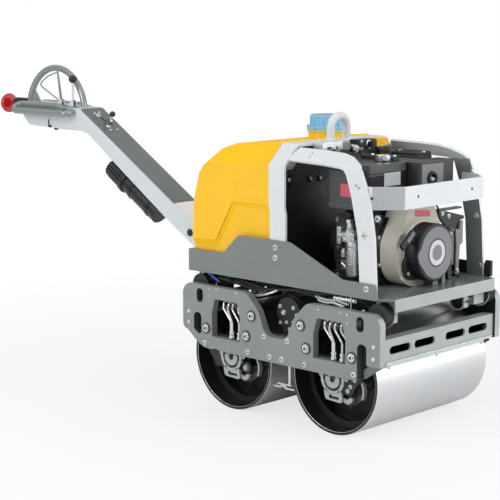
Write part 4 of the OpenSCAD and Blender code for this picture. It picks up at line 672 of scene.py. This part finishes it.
# exciter cover and rubber buffers
addBolts("exciter_bolts", mirrored([((x, -290.5, z), right, r)
    for x, z, r in ((-40, 424, 8), (-22, 403, 10.5), (26, 426, 8), (43, 400, 8), (-8, 367.5, 7),
    (-38, 362, 7), (8, 345, 7), (26, 372, 7))]), height=0.7)
bm = bmesh.new()
for x in (446, -428):
    for side in (-1, 1):
        addLathe(bm, [(0, 39), (3, 43), (8, 43), (12, 40), (24, 38.5), (36, 40), (40, 43), (46, 43),
            (49, 39)], (x, side * 326, 460), (0, -side, 0))
makePiece("buffers", bm, "rubber", 1, replaced=["rubber_mounts"])
bm = bmesh.new()
for x in (440, -428):
    for side in (-1, 1):
        addLathe(bm, [(0, 49), (3, 49), (3, 40), (0, 40)], (x, side * 280.5, 458), (0, side, 0), 48, True)
makePiece("buffer_plates", bm, "fascia_grey_and_lit_front", 0.6)

# shut backs of the slots, black sheets as painted shade, the slanted web behind the hook, and the rail over
# the drum
corners = [(side, end) for side in (-1, 1) for end in (-1, 1)]
bm = bmesh.new()
for side, end in corners:
    for outline in ([(392, 390), (446, 390), (446, 462), (392, 462)],
        [(384, 262), (412, 277), (430, 280), (430, 350), (384, 350)]):
        addPrism(bm, [(end * x, z) for x, z in outline], "Y", *sorted((side * 327.2, side * 328.6)))
makePiece("slot_shade_backs", bm, "black_paint", 0)
bm = bmesh.new()
for side, end in corners:
    addPrism(bm, [(end * x, z) for x, z in ((384, 230), (400, 230), (463, 272), (468, 280), (413, 275),
        (384, 258))], "Y", *sorted((side * 325.8, side * 328.8)))
makePiece("hook_webs", bm, "deck_paint", 0.4)
bm = bmesh.new()
for end in (-1, 1):
    low, high = sorted((end * 460, end * 466))
    addBox(bm, (low, -289, 273), (high, 289, 285.5))
    low, high = sorted((end * 459, end * 468.5))
    for y in (-276, 0, 276):
        addBox(bm, (low, y - 5, 268), (high, y + 5, 279))
makePiece("scraper_rails", bm, "guard_paint", 0.6)
bm = bmesh.new()
for low, high in (((-66, -303, 119), (-24, -297, 126)), ((-6, -303, 117.5), (41, -297, 124.5)),
    ((-45, -299, 130), (25, -293, 137)), ((-30, -300, 122), (0, -296, 134)),
    ((12, -302, 132), (23, -298, 352)), ((12, -302, 340), (23, -289, 352))):
    addBox(bm, low, high)
    addBox(bm, (low[0], -high[1], low[2]), (high[0], -low[1], high[2]))
makePiece("gap_brackets", bm, "bright_steel", 0.5)
addBolts("bracket_bolts", mirrored([((s * x, -264.5, z), left, 8) for x in (425, 455) for z in (450,)
    for s in (1, -1)]))

# hoses and wiring under the deck
addHoses("deck_hoses", [[(-395, -300, 486), (-330, -304, 494), (-250, -296, 484), (-160, -300, 470),
    (-60, -292, 484), (60, -296, 498), (190, -290, 492)],
    [(-380, -286, 476), (-300, -292, 500), (-210, -290, 492), (-120, -284, 476), (0, -280, 492),
    (120, -284, 484), (330, -280, 494)], [(-330, -270, 496), (-240, -276, 478), (-150, -268, 498),
    (-50, -262, 480), (40, -250, 440), (44, -240, 412)],
    [(-36, -278, 470), (-20, -270, 492), (70, -262, 498), (230, -268, 488), (360, -262, 470),
    (400, -240, 452)], [(219, -298, 506), (160, -300, 497), (90, -296, 503), (20, -290, 497)]], 6.5,
    "rubber", 30)
addHoses("light_hoses", [[(158, -308, 487), (172, -316, 478), (205, -318, 474), (240, -316, 478),
    (290, -318, 470)], [(150, -306, 488), (200, -308, 482), (250, -306, 486), (300, -308, 478)],
    [(-150, -308, 450), (-100, -310, 462), (-66, -306, 474), (-50, -293, 484)]], 5, "zinc", 20)
makePiece("valve_block", shape((addBox, (-430, -262, 476), (-205, -150, 511)),
    (addBox, (-190, -258, 486), (150, -170, 511)), (addBox, (-474, -276, 379), (-469, -96, 475)),
    (addBox, (-474, 96, 379), (-469, 276, 475))), "black_paint", 2)
bm = bmesh.new()
for y in (-240, -60):
    addBox(bm, (-280, y - 12, 519), (-92, y + 12, 526))
makePiece("tank_feet", bm, "rubber", 0.6)

# filter under the front of the deck
makePiece("filter_can", shape((addLathe, [(0, 30), (3, 33.5), (44, 33.5), (50, 30), (52, 18), (66, 18)],
    (440, 152, 446), left, 40)), "black_gloss", 1, replaced=["hydraulic_filter"])
makePiece("filter_strap", shape((addLathe, [(0, 35), (6, 35), (6, 29), (0, 29)], (440, 147, 446), left, 40,
    True), (addBox, (466, 146, 424), (473, 172, 474)), (addBox, (420, 216, 426), (468, 276, 474))),
    "strap_grey_and_bumper_shade", 1.2)
addHoses("blue_hose", [[(-392, -312, 507), (-362, -314, 496), (-336, -312, 480)]], 4.5, "hose_blue", 20)
addHoses("wiring", [[(-300, -308, 500), (-260, -314, 488), (-200, -310, 480), (-170, -306, 476)],
    [(-290, -300, 504), (-250, -306, 492), (-190, -300, 486), (-150, -298, 478)],
    [(40, -300, 506), (90, -306, 494), (150, -302, 498), (230, -306, 506)],
    [(322, -300, 513), (330, -306, 500), (380, -304, 490), (404, -290, 470)]], 2.2, "black_plastic", 18, 8)
bm = bmesh.new()
for x in (243, 276, 309):
    addLathe(bm, [(0, 6.5), (3, 8.5), (10, 8.5), (11, 6.5), (22, 6.5), (23, 9), (31, 9), (33, 5)],
        (x, -316, 497), (1, 0.05, 0), 16)
makePiece("hose_ferrules", bm, "zinc", 0.5)
makePiece("tie_end", shape((addBox, (325, -324, 456), (328.5, -322.5, 510)),
    (addBox, (323.5, -325.5, 496), (330, -320, 503))), "white_plastic", 0.4)

# sloped lip round the recess of the tank, in the deeper yellow that stands for the shade on it
bm = bmesh.new()
lip = [((-67, 800.1), (-67, 779)), ((-262, 797.8), (-249, 778)), ((-267, 793), (-254, 774)),
    ((-352, 645), (-341, 627)), ((-357, 641.6), (-346, 619)), ((-476.5, 636.4), (-476.5, 614))]
for side in (-1, 1):
    rows = [[bm.verts.new((x, side * y, z)) for (x, z), y in ((high, 312.6), (low, 303.4), (high, 303.4))]
        for high, low in lip]
    for first, second in zip(rows, rows[1:]):
        for i in range(3):
            bm.faces.new((first[i], first[(i + 1) % 3], second[(i + 1) % 3], second[i]))
    bm.faces.new(rows[0])
    bm.faces.new(rows[-1])
makePiece("recess_lip", bm, "tank_shaded_yellow", 0)
print("frame pieces made")

# water tank cap
neck = (-155, 107.4)
addRing("cap_ribs", shape((addBox, (69, -2.6, -16), (72.5, 2.6, 16))), 22, (neck[0], neck[1], 1084), up,
    "cap_blue", 1, body="water_cap")
makePiece("cap_seal", shape((addLathe, [(0, 82.6), (2, 83.2), (8, 83.2), (10, 82.6), (10, 76), (0, 76)],
    (neck[0], neck[1], 1041.8), up, 56, True)), "seal_green", 0.6)
makePiece("cap_top_ring", shape((addLathe, [(0, 52), (2, 52), (2, 44), (0, 44)], (neck[0], neck[1], 1105.2),
    up, 56, True)), "cap_blue", 0.5, body="water_cap")

# guards and bumper
outer = [(336, -312), (406, -312), (487, -231)]
inner = [(336, -304), (402.8, -304), (479, -227.8)]
# the bumper's chamfered ends in a darker grey, as painted shade
makePiece("bumper", shape((addPrism, outer + [(x, -y) for x, y in reversed(outer)] + [(x, -y)
    for x, y in inner] + inner[::-1], "Z", 823, 903)), "guard_paint", 1.6, replaced=["bumper_bar"],
    others=[("strap_grey_and_bumper_shade", lambda m, n: n.y < -0.5 and n.x > 0.3)])
addBolts("guard_bolts", [((383, -322, 734), right, 13)] + [((x, -322, z), right, 6.5)
    for x, z in ((344, 905), (356, 897))] + [((x, y, z), (0, -1, 1), 6.5)
    for x, y, z in ((108.9, -281, 998), (103.9, -293.6, 985.4))] + [((x, y, z), (0, -1 if y > 0 else 1, 0),
    r) for x, z, r in ((401, 743, 13), (375, 909, 9), (424, 558, 11)) for y in (311.7, -311.7)])
# black discs standing in for the bar's holes, as painted shade
bm = bmesh.new()
for x, y, z in ((487, -157, 864), (487, 161, 864), (406, -306, 864), (406, 306, 864)):
    out = ahead if x == 487 else (0, math.copysign(1, y), 0)
    place = (x - 0.6, y, z) if x == 487 else (x, math.copysign(311.6, y), z)
    addLathe(bm, [(0, 5.2), (1, 5.2), (1, 0)], place, out, 20)
makePiece("bumper_hole_shades", bm, "black_paint", 0)
makePiece("post_stops", shape((addBox, (450, 306, 521), (476, 321, 580))), "rubber", 2)

# recoil starter
shaftZ = 645
makePiece("recoil_side", shape((addLathe, [(0, 104.8), (6, 104.8), (8, 102), (54, 102), (58, 104.8),
    (64, 104.8), (67, 101), (67, 30), (4, 30), (0, 90)], (385.2, 0, shaftZ), ahead, 96, True)),
    "black_plastic", 0.8, replaced=["recoil_housing"])
addRing("recoil_ribs", shape((addBox, (100, -1.8, 2), (104.6, 1.8, 44))), 56, (391.5, 0, shaftZ), ahead,
    "black_plastic")
disc = [(94 * math.cos(math.radians(a)), shaftZ + 94 * math.sin(math.radians(a)))
    for a in range(-150, 167, 4)]
disc += [(-103, shaftZ + 14), (-108, shaftZ + 4), (-108, shaftZ - 8), (-100, shaftZ - 28),
    (-88, shaftZ - 42)]
makePiece("recoil_disc", shape((addPrism, disc, "X", 450, 455.6)), "grey_plastic", 1.6)
# black ring round the white ring, as a painted shadow
makePiece("recoil_rim", shape((addLathe, [(0, 52), (1.2, 51), (1.2, 47), (0, 47)], (455.4, 0, shaftZ),
    ahead, 64, True)), "black_plastic", 0.3)
makePiece("recoil_ring", shape((addLathe, [(0, 47), (1.6, 46), (1.6, 29), (0, 28)], (455.2, 0, shaftZ),
    ahead, 64, True)), "white_plastic", 0.3)
makePiece("recoil_hub", shape((addLathe, [(0, 28), (1, 27), (1, 0)], (455.2, 0, shaftZ), ahead, 48)),
    "grey_plastic", 0.3)
makePiece("cowl_ring", shape((addLathe, [(0, 115), (4, 114), (6, 110), (6, 105.2), (0, 105.2)],
    (384.8, 0, shaftZ), ahead, 96, True)), "cowl_paint", 0.8)
makePiece("recoil_tab", shape((addPrism, [(-106, 640), (-116, 612), (-114, 584), (-100, 560), (-78, 547),
    (-40, 544), (-30, 560), (-80, 640)], "X", 386, 402)), "black_plastic", 3)
addBolts("recoil_screws", [((402, -95, 574), ahead, 8)])
grip = Matrix.Translation((425.4, -125, 699.6)) @ Matrix.Rotation(math.radians(-50), 4, "X")
makePiece("grip_bar", shape((addBox, (-16, -12, -42), (-1, 12, 42))), "black_plastic", 4, 3, place=grip,
    replaced=["recoil_grip"], body="recoil_grip")
makePiece("grip_rope", shape((addLathe, [(0, 4), (36, 4)], (415, -92, 682), (0, -0.88, 0.48), 20)),
    "black_plastic", 0.6, body="recoil_grip")
makePiece("grip_face", shape((addBox, (-5, -7, -8), (1.5, 9, 40))), "grey_plastic", 2, place=grip,
    body="recoil_grip")

# cowl, its bare plate, screws and the bracket beside it
makePiece("cowl_plate", shape((addPrism, [(-43, 794), (-40, 797), (45, 788), (48, 785), (48, 768),
    (45, 765), (-40, 773), (-43, 776)], "X", 384.8, 386)), "pale_red", 0.5)
addBolts("cowl_bolts", [((385, y, z), ahead, 7) for y, z in ((-112, 556), (-113, 716), (48, 835),
    (-48, 835), (96, 742))] + [((300, -146, 767), right, 13), ((297.5, -135.5, 698), (0, -0.86, 0.5), 8),
    ((305.1, -139.9, 598.7), (0, -0.96, -0.29), 8)])
makePiece("control_bracket", shape((addPrism, [(92, 787), (250, 749), (250, 738), (214, 733), (200, 706),
    (150, 712), (112, 742), (94, 766)], "X", 378, 392), (addBox, (356, 96, 776), (384, 246, 783)),
    (addBox, (362, 152, 521), (394, 176, 720)), (addBox, (362, 216, 540), (384, 234, 735)),
    (addBox, (356, 150, 520), (398, 226, 528))), "black_gloss", 2)
makePiece("cowl_flange", shape((addPrism, [(-152, 520), (-152, 700), (-146, 742), (-120, 806), (-104, 852),
    (-96, 852), (-112, 806), (-138, 742), (-143, 700), (-143, 530), (-110, 520)], "X", 279, 290),
    (addBox, (282, -145.9, 752), (313, -133, 782))), "black_paint", 1.2)
makePiece("cowl_feet", shape((addBox, (384, 20, 520), (424, 52, 536)),
    (addBox, (384, 66, 520), (432, 84, 552))), "panel_paint", 1.5)
makePiece("control_bar", shape((addPrism, [(190, 706), (215, 700), (219, 735), (235, 733), (236, 650),
    (219, 642), (216, 600), (213, 536), (193, 536), (198, 640)], "X", 392, 398)), "panel_paint", 1.2)
addBolts("control_bolts", [((392, 113, 770), ahead, 9), ((392, 152, 757), ahead, 9),
    ((398, 203, 548), ahead, 10), ((394, 164, 690), ahead, 8)])
addHoses("control_cable", [[(386, 203, 552), (386, 203, 530), (360, 203, 524)],
    [(372, 120, 780), (360, 116, 800), (330, 112, 812), (300, 108, 800)]], 3.5, "rubber", 14)

# fuel tank seams, plate and lid
makePiece("tank_seams", shape((addBox, (105.4, -201.6, 806), (301.6, 21.6, 813))), "fuel_paint", 2.5)
makePiece("tank_plate", shape((addBox, (171, -201.2, 842), (231, -199.5, 889))), "pale_red", 0.8)
makePiece("tank_lid", shape((addPrism, [(206, 958), (262, 950), (292, 940), (303.4, 926), (303.4, 876),
    (298, 870), (216, 870), (206, 880)], "Y", -203, 12)), "black_gloss", 6, 4)
# black cover over the top of the tank, as painted shade
makePiece("tank_top_shade", shape((addPrism, [(104, 935), (104, 956), (112, 963), (210, 963), (210, 935)], "Y",
    -204, 21)), "black_paint", 5, 3)
makePiece("lid_front", shape((addBox, (300, -118, 880), (305.2, -24, 928))), "fascia_grey_and_lit_front", 5, 3)
makePiece("cap_collar", shape((addLathe, [(0, 33), (5, 33), (8, 30), (8, 26), (0, 26)], (233, -37.2, 958),
    up, 40, True)), "black_plastic", 0.8)
addRing("fuel_cap_ribs", shape((addBox, (25.5, -1.6, -8), (27.2, 1.6, 8))), 18, (233, -37.2, 972), up,
    "chrome", 0.4, body="fuel_cap")

# muffler face, outlet and grille, air filter lid
bm = bmesh.new()
addBox(bm, (349, 42, 869), (351.6, 170, 950))
face = bmesh.new()
addLathe(face, [(-20, 27), (20, 27)], (350, 99.4, 896.8), ahead, 40)
bm = carve(bm, face)
makePiece("muffler_face", bm, "grey_plastic", 0.9)
makePiece("muffler_outlet", shape((addLathe, [(-40, 17), (9, 17), (10.5, 19), (10.5, 24), (0, 26), (0, 25),
    (-40, 21)], (350, 99.4, 896.8), ahead, 40, True)), "black_plastic", 0.6)
addHoses("muffler_pipe", [[(322, 99, 897), (345, 99, 897), (357, 104, 889)]], 9, "engine_cast", 10)
addRow("muffler_louvres", shape((addBox, (0, 0, 0), (60, 4, 3))), 9, (0, 9, 0), "muffler_paint", 0.8,
    Matrix.Translation(Vector((275, 150, 957.6)) * mm))
makePiece("engine_lid", shape((addPrism, [(106, -10), (150, 30), (250, 30), (262, 20), (262, -14),
    (240, -22), (120, -22)], "Z", 958, 978)), "black_plastic", 4, 3)
makePiece("filter_lid", shape((addPrism, [(120, 152), (246, 152), (250, 200), (244, 238), (124, 238),
    (118, 200)], "Z", 970, 980)), "black_plastic", 4, 3)
addRow("filter_ribs", shape((addBox, (0, 0, 0), (5, 74, 4))), 9, (13, 0, 0), "black_gloss", 1,
    Matrix.Translation(Vector((130, 158, 978)) * mm))
addBolts("engine_top_bolts", [((148, 8, 978), up, 7), ((250, 8, 978), up, 7), ((128, 195, 980), up, 7),
    ((240, 195, 980), up, 7)])

# cylinder fins on the side, carburettor, filter and lines below the fuel tank
addRow("block_ribs", shape((addBox, (96, -134, 0), (284, -128, 5))), 12, (0, 0, 18), "cast_iron", 1,
    Matrix.Translation(Vector((0, 0, 536)) * mm))
makePiece("carburettor", shape((addLathe, [(0, 15), (4, 20), (10, 21), (100, 21), (108, 19), (112, 21),
    (126, 21), (130, 17)], (196, -162, 546), up, 32),
    (addLathe, [(0, 11), (6, 17), (10, 17), (14, 12), (30, 12), (34, 17), (40, 17), (62, 14), (66, 18),
    (72, 18)], (132, -158, 694), (1, 0, 0.05), 32), (addBox, (160, -176, 674), (214, -132, 706)),
    (addLathe, [(0, 16), (12, 16), (16, 12), (34, 12), (40, 15), (52, 15)], (182, -160, 704), up, 28),
    (addBox, (128, -170, 662), (146, -134, 726)), (addLathe, [(0, 10), (22, 10), (26, 7), (34, 7)],
    (146, -150, 612), up, 20)), "engine_cast", 1.5)
bm = bmesh.new()
for z in (556, 590, 626, 650):
    addLathe(bm, [(0, 22.5), (4, 22.5), (4, 20), (0, 20)], (196, -162, z), up, 32, True)
addBox(bm, (136, -156, 594), (176, -140, 602))
addBox(bm, (140, -160, 570), (170, -148, 576))
addLathe(bm, [(0, 8), (26, 8), (30, 5)], (136, -148, 590), (0.8, -0.1, -0.5), 16)
makePiece("filter_bands", bm, "bright_steel", 0.8)
makePiece("intake_boot", shape((addLathe, [(0, 13), (4, 16), (10, 16), (13, 13), (17, 16), (23, 16),
    (26, 13), (30, 17), (44, 18), (50, 14)], (168, -158, 736), (0.25, 0, 1), 28),
    (addBox, (134, -170, 742), (206, -140, 760))), "rubber", 1.2)
addHoses("fuel_lines", [[(214, -170, 690), (232, -172, 690), (236, -168, 740), (230, -150, 800)],
    [(196, -162, 548), (196, -166, 534), (240, -160, 528), (262, -146, 540)],
    [(132, -158, 700), (112, -156, 706), (104, -150, 660), (104, -146, 600)],
    [(146, -150, 644), (146, -160, 662), (160, -168, 668)]], 4.5, "rubber", 12)
addBolts("carburettor_bolts", [((x, y, z), d, 6.5)
    for x, y, z, d in ((168, -176, 698, right), (206, -176, 698, right), (168, -176, 682, right),
    (206, -176, 682, right), (137, -170, 716, right), (137, -170, 672, right), (128, -150, 694, (-1, 0, 0)),
    (186, -172, 720, (0, -0.84, 0.53)))])
addBolts("block_bolts", [((x, -134, z), right, 9) for x in (102, 240, 276) for z in (540, 640, 745)])

# row under the top of the hoop
makePiece("key_bezel", shape((addLathe, [(0, 17), (4, 17), (6, 14), (6, 8), (0, 8)], (60, 89, 1006), ahead,
    32, True)), "chrome", 0.6)
makePiece("bell", shape((addLathe, [(0, 6), (10, 6), (12, 12), (22, 15), (32, 12), (36, 0)], (34, 22, 1004),
    (0.8, 0.1, -0.5), 24)), "zinc", 0.5)
makePiece("relay_bracket", shape((addBox, (12, -63, 992), (56, -10, 1020)),
    (addBox, (56, -150, 984), (60, -120, 1010)), (addBox, (56, -100, 984), (60, -70, 1010))), "panel_paint",
    1.5)
addBolts("row_bolts", [((60, y, z), ahead, 6) for y, z in ((-158, 1006), (-110, 1004), (-82, 1004),
    (50, 990), (50, 1018), (156, 996), (194, 996))])
addHoses("row_wires", [[(40, 60, 980), (46, 70, 960), (30, 90, 940), (10, 100, 930)],
    [(40, 110, 980), (60, 120, 962), (90, 110, 950)],
    [(50, 150, 996), (66, 152, 980), (90, 160, 974), (120, 140, 982)],
    [(40, -40, 992), (50, -30, 970), (30, 0, 950)]], 3, "black_plastic", 14, 8)
bm = bmesh.new()
for y in (-111, -56, 56, 111):
    addLathe(bm, [(0, 13), (4, 13), (7, 8), (7, 0)], (-57.5, y, 882), ahead, 24)
addLathe(bm, [(0, 26), (10, 26), (14, 20), (14, 0)], (-57.5, -239, 888), ahead, 32)
makePiece("bulkhead_studs", bm, "black_gloss", 0.6)
makePiece("bulkhead_tab", shape((addPrism, [(-252, 958), (-252, 926), (-214, 926), (-196, 944),
    (-206, 962)], "X", -58, -50)), "panel_paint", 1)
addBolts("bulkhead_bolts", [((-50.5, -111, 882), ahead, 6), ((-50.5, -56, 882), ahead, 6),
    ((-43.5, -239, 888), ahead, 8), ((-50, -232, 942), ahead, 8)])
print("engine pieces made")

# drawbar, head and levers
makePiece("bare_plate", shape((addBox, (200, -54, 43.2), (364, 54, 44.8))), "label_white", 0.5,
    place=barMatrix, body="drawbar")
makePiece("throttle_plate", shape((addBox, (884, -32, 43.2), (1036, 32, 45.2))), "dark_paint", 0.8,
    place=barMatrix, body="drawbar")
along = barMatrix.to_3x3() @ Vector(up)
addBolts("cover_bolts", [(barPoint(u, y, 45.2), along, r)
    for u, y, r in ((1021, -15, 6), (1026, 15, 6), (1004, -6, 12), (922, -8, 13), (893, -18, 6),
    (893, 22, 6))], body="drawbar")
# black strip standing in for the slot, as painted shade
makePiece("throttle_slot", shape((addBox, (946, -5, 44), (990, 5, 46.2))), "black_paint", 0.6,
    place=barMatrix, body="drawbar")
makePiece("bar_plug", shape((addLathe, [(0, 15), (5, 15), (8, 11), (8, 0)], (-757, -60.4, 602), right, 28)),
    "rubber", 0.8, body="drawbar")
addBolts("pivot_nuts", [((-560, s * 80, 487), (0, s, 0), 20) for s in (-1, 1)], height=0.6)
bm = bmesh.new()
for share in (0.18, 0.372):
    x = -1443.1 - share * 427
    addBox(bm, (x - 24, -60, 1082.2 + share * 18), (x + 24, -24, 1085.2 + share * 18))
makePiece("lever_plates", bm, "dark_paint", 0.8, body="drawbar")
bm = bmesh.new()
# the webs in the dark grey, as painted shade on a top face
for side in (-1, 1):
    addPrism(bm, [(side * 64, 1086), (side * 108, 1072), (side * 108, 1068), (side * 64, 1080)], "X", -1850,
        -1530)
makePiece("rail_webs", bm, "dark_paint", 0.8, body="drawbar")
loop = [(-1510, -67, 1068), (-1484, -80, 1064), (-1496, -112, 1060), (-1846, -115, 1060),
    (-1876, -96, 1074), (-1874, -68, 1089), (-1610, -68, 1088)]
addHoses("hand_loops", [loop + loop[:1], [(x, -y, z) for x, y, z in loop + loop[:1]]], 13.5, "rail_paint",
    24, 28, replaced=["hand_rails"], body="drawbar")
makePiece("latch_foot", shape((addBox, (-1672, -66, 990), (-1652, -60, 1000)),
    (addBox, (-1634, -62, 980), (-1614, -50, 988))), "black_plastic", 1.5, body="drawbar")
addHoses("latch_rod", [[(-1671, -63, 1026), (-1671, -63, 1004), (-1668, -63, 996)]], 2.2, "black_plastic",
    6, body="drawbar")

# hoop on the head, its gusset and the eye on the guard hoop
arc = [(-1688 + 197 * math.cos(math.pi * i / 48), 0, 1056 + 197 * math.sin(math.pi * i / 48))
    for i in range(49)]
arc = [p for p in arc if p[2] > 1078]
addHoses("hoop_tube", [arc], 14, "rail_paint", 0.1, 32, replaced=["head_hoop"], body="drawbar")
makePiece("hoop_gusset", shape((addPrism, [(-1866, 1098), (-1800, 1094), (-1850, 1162), (-1866, 1162)], "Y",
    -4, 4)), "rail_paint", 1, body="drawbar")
arc = [(-11, -46, 1022)] + [(-11, -46 * math.cos(math.pi * i / 32),
    1066.8 + 46 * math.sin(math.pi * i / 32)) for i in range(33)]
addHoses("eye_bar", [arc + [(-11, 46, 1022)]], 15.5, "guard_paint", 0.1, 32, replaced=["lifting_eye"])
bm = bmesh.new()
for y in (-46, 46):
    addLathe(bm, [(0, 21), (2, 20), (5, 16.5), (5, 15), (0, 15)], (-11, y, 1024.6), up, 32, True)
makePiece("eye_welds", bm, "guard_paint", 0)
tubeAxis = barMatrix.to_3x3() @ Vector(ahead)
bm = bmesh.new()
for u in (505, 630):
    addLathe(bm, [(0, 45.2), (0, 47.6), (16, 47.6), (16, 45.2)], barPoint(u, 0, -93), tubeAxis, 48, True)
makePiece("tube_bands", bm, "black_gloss", 0.8, body="drawbar")
addRing("document_cap_ribs", shape((addBox, (46, -2.4, 6), (49, 2.4, 70))), 18, barPoint(722, 0, -93),
    tubeAxis, "black_plastic", 0.8, body="document_cap")
makePiece("head_collar", shape((addLathe, [(0, 13), (5, 15), (5, 11), (0, 11)], (-1871, 0, 1082),
    (-1, 0, 0), 32, True)), "cast_iron", 0.6, body="drawbar")
makePiece("button_boss", shape((addLathe, [(0, 16), (6, 18), (10, 22), (12, 22)], (-2034, 0, 1082), ahead,
    32)), "stop_red", 0.8, body="stop_button")
print("drawbar pieces made")

# floor, light and camera, in metres

stage = {"floor": (0.8, 0.8, 0.8, 1), "shadowNear": 0.9, "shadowFar": 3.2, "shadowShare": 0.72,
         "sky": (0.94, 0.97, 1, 1), "skyLow": 0.3, "skyHigh": 0.75}


def linkObject(name, data):
    made = bpy.data.objects.new(name, data)
    bpy.context.scene.collection.objects.link(made)
    return made


def makeFloor():
    bm = bmesh.new()
    bmesh.ops.create_grid(bm, x_segments=1, y_segments=1, size=40)
    floor = linkObject("floor", meshFrom(bm, "floor"))
    pale = bpy.data.materials.new("pale_floor")
    pale.use_nodes = True
    tree = pale.node_tree
    shader = tree.nodes["Principled BSDF"]
    shader.inputs["Base Color"].default_value = stage["floor"]
    shader.inputs["Roughness"].default_value = 0.7
    # the camera sees white, less so near the machine, where the shadow stays
    place = addNode(tree, "ShaderNodeTexCoord")["Object"]
    away = addNode(tree, "ShaderNodeVectorMath", {0: place}, operation="LENGTH")["Value"]
    fade = addNode(tree, "ShaderNodeMapRange", {
        "Value": away, "From Min": stage["shadowNear"], "From Max": stage["shadowFar"],
        "To Min": stage["shadowShare"]})["Result"]
    seen = addNode(tree, "ShaderNodeLightPath")["Is Camera Ray"]
    share = addNode(tree, "ShaderNodeMath", {0: fade, 1: seen}, operation="MULTIPLY")["Value"]
    white = addNode(tree, "ShaderNodeEmission")["Emission"]
    surface = addNode(tree, "ShaderNodeMixShader", {"Fac": share, 1: shader.outputs["BSDF"],
        2: white})["Shader"]
    tree.links.new(surface, tree.nodes["Material Output"].inputs["Surface"])
    floor.data.materials.append(pale)


def makeWorld():
    world = bpy.data.worlds.new("studio")
    bpy.context.scene.world = world
    world.use_nodes = True
    tree = world.node_tree
    lit = tree.nodes["Background"]
    lit.inputs["Color"].default_value = stage["sky"]
    height = addNode(tree, "ShaderNodeSeparateXYZ", {0: addNode(tree,
        "ShaderNodeTexCoord")["Generated"]})["Z"]
    rise = addNode(tree, "ShaderNodeMapRange", {
        "Value": height, "From Min": 0.0, "From Max": 0.75, "To Min": stage["skyLow"],
        "To Max": stage["skyHigh"]})["Result"]
    tree.links.new(rise, lit.inputs["Strength"])
    white = addNode(tree, "ShaderNodeBackground", {"Color": (1, 1, 1, 1)})["Background"]
    seen = addNode(tree, "ShaderNodeLightPath")["Is Camera Ray"]
    surface = addNode(tree, "ShaderNodeMixShader", {"Fac": seen, 1: lit.outputs["Background"],
        2: white})["Shader"]
    tree.links.new(surface, tree.nodes["World Output"].inputs["Surface"])


def addLamp(name, power, size, place, target):
    data = bpy.data.lights.new(name, "AREA")
    data.energy, data.size = power, size
    lamp = linkObject(name, data)
    lamp.location = place
    lamp.rotation_euler = (Vector(target) - Vector(place)).to_track_quat("-Z", "Y").to_euler()


def addCamera(view):
    data = bpy.data.cameras.new("camera")
    data.lens, data.sensor_width = view["lens"], view["sensor"]
    camera = linkObject("camera", data)
    camera.location = view["place"]
    camera.rotation_euler = [math.radians(view["pitch"]), view["roll"], math.radians(view["heading"])]
    bpy.context.scene.camera = camera


makeFloor()
makeWorld()
addLamp("overhead", 24, 4, (0.5, -0.5, 4.5), (0, 0, 0.4))
addLamp("front", 78, 2.2, (4.2, 1.2, 2.4), (0.2, 0, 0.6))
addLamp("side", 92, 2.5, (-1.2, -4.5, 2.4), (-0.3, 0, 0.6))
addLamp("low", 34, 2.4, (4.1, 4.3, 1.35), (0.4, 0, 0.4))
addCamera({"lens": 105.47, "sensor": 36, "place": (3.5609, -4.1987, 1.4804), "pitch": 80.95, "roll": 0.001,
           "heading": 43.85})
bpy.context.scene.view_settings.view_transform = "Standard"
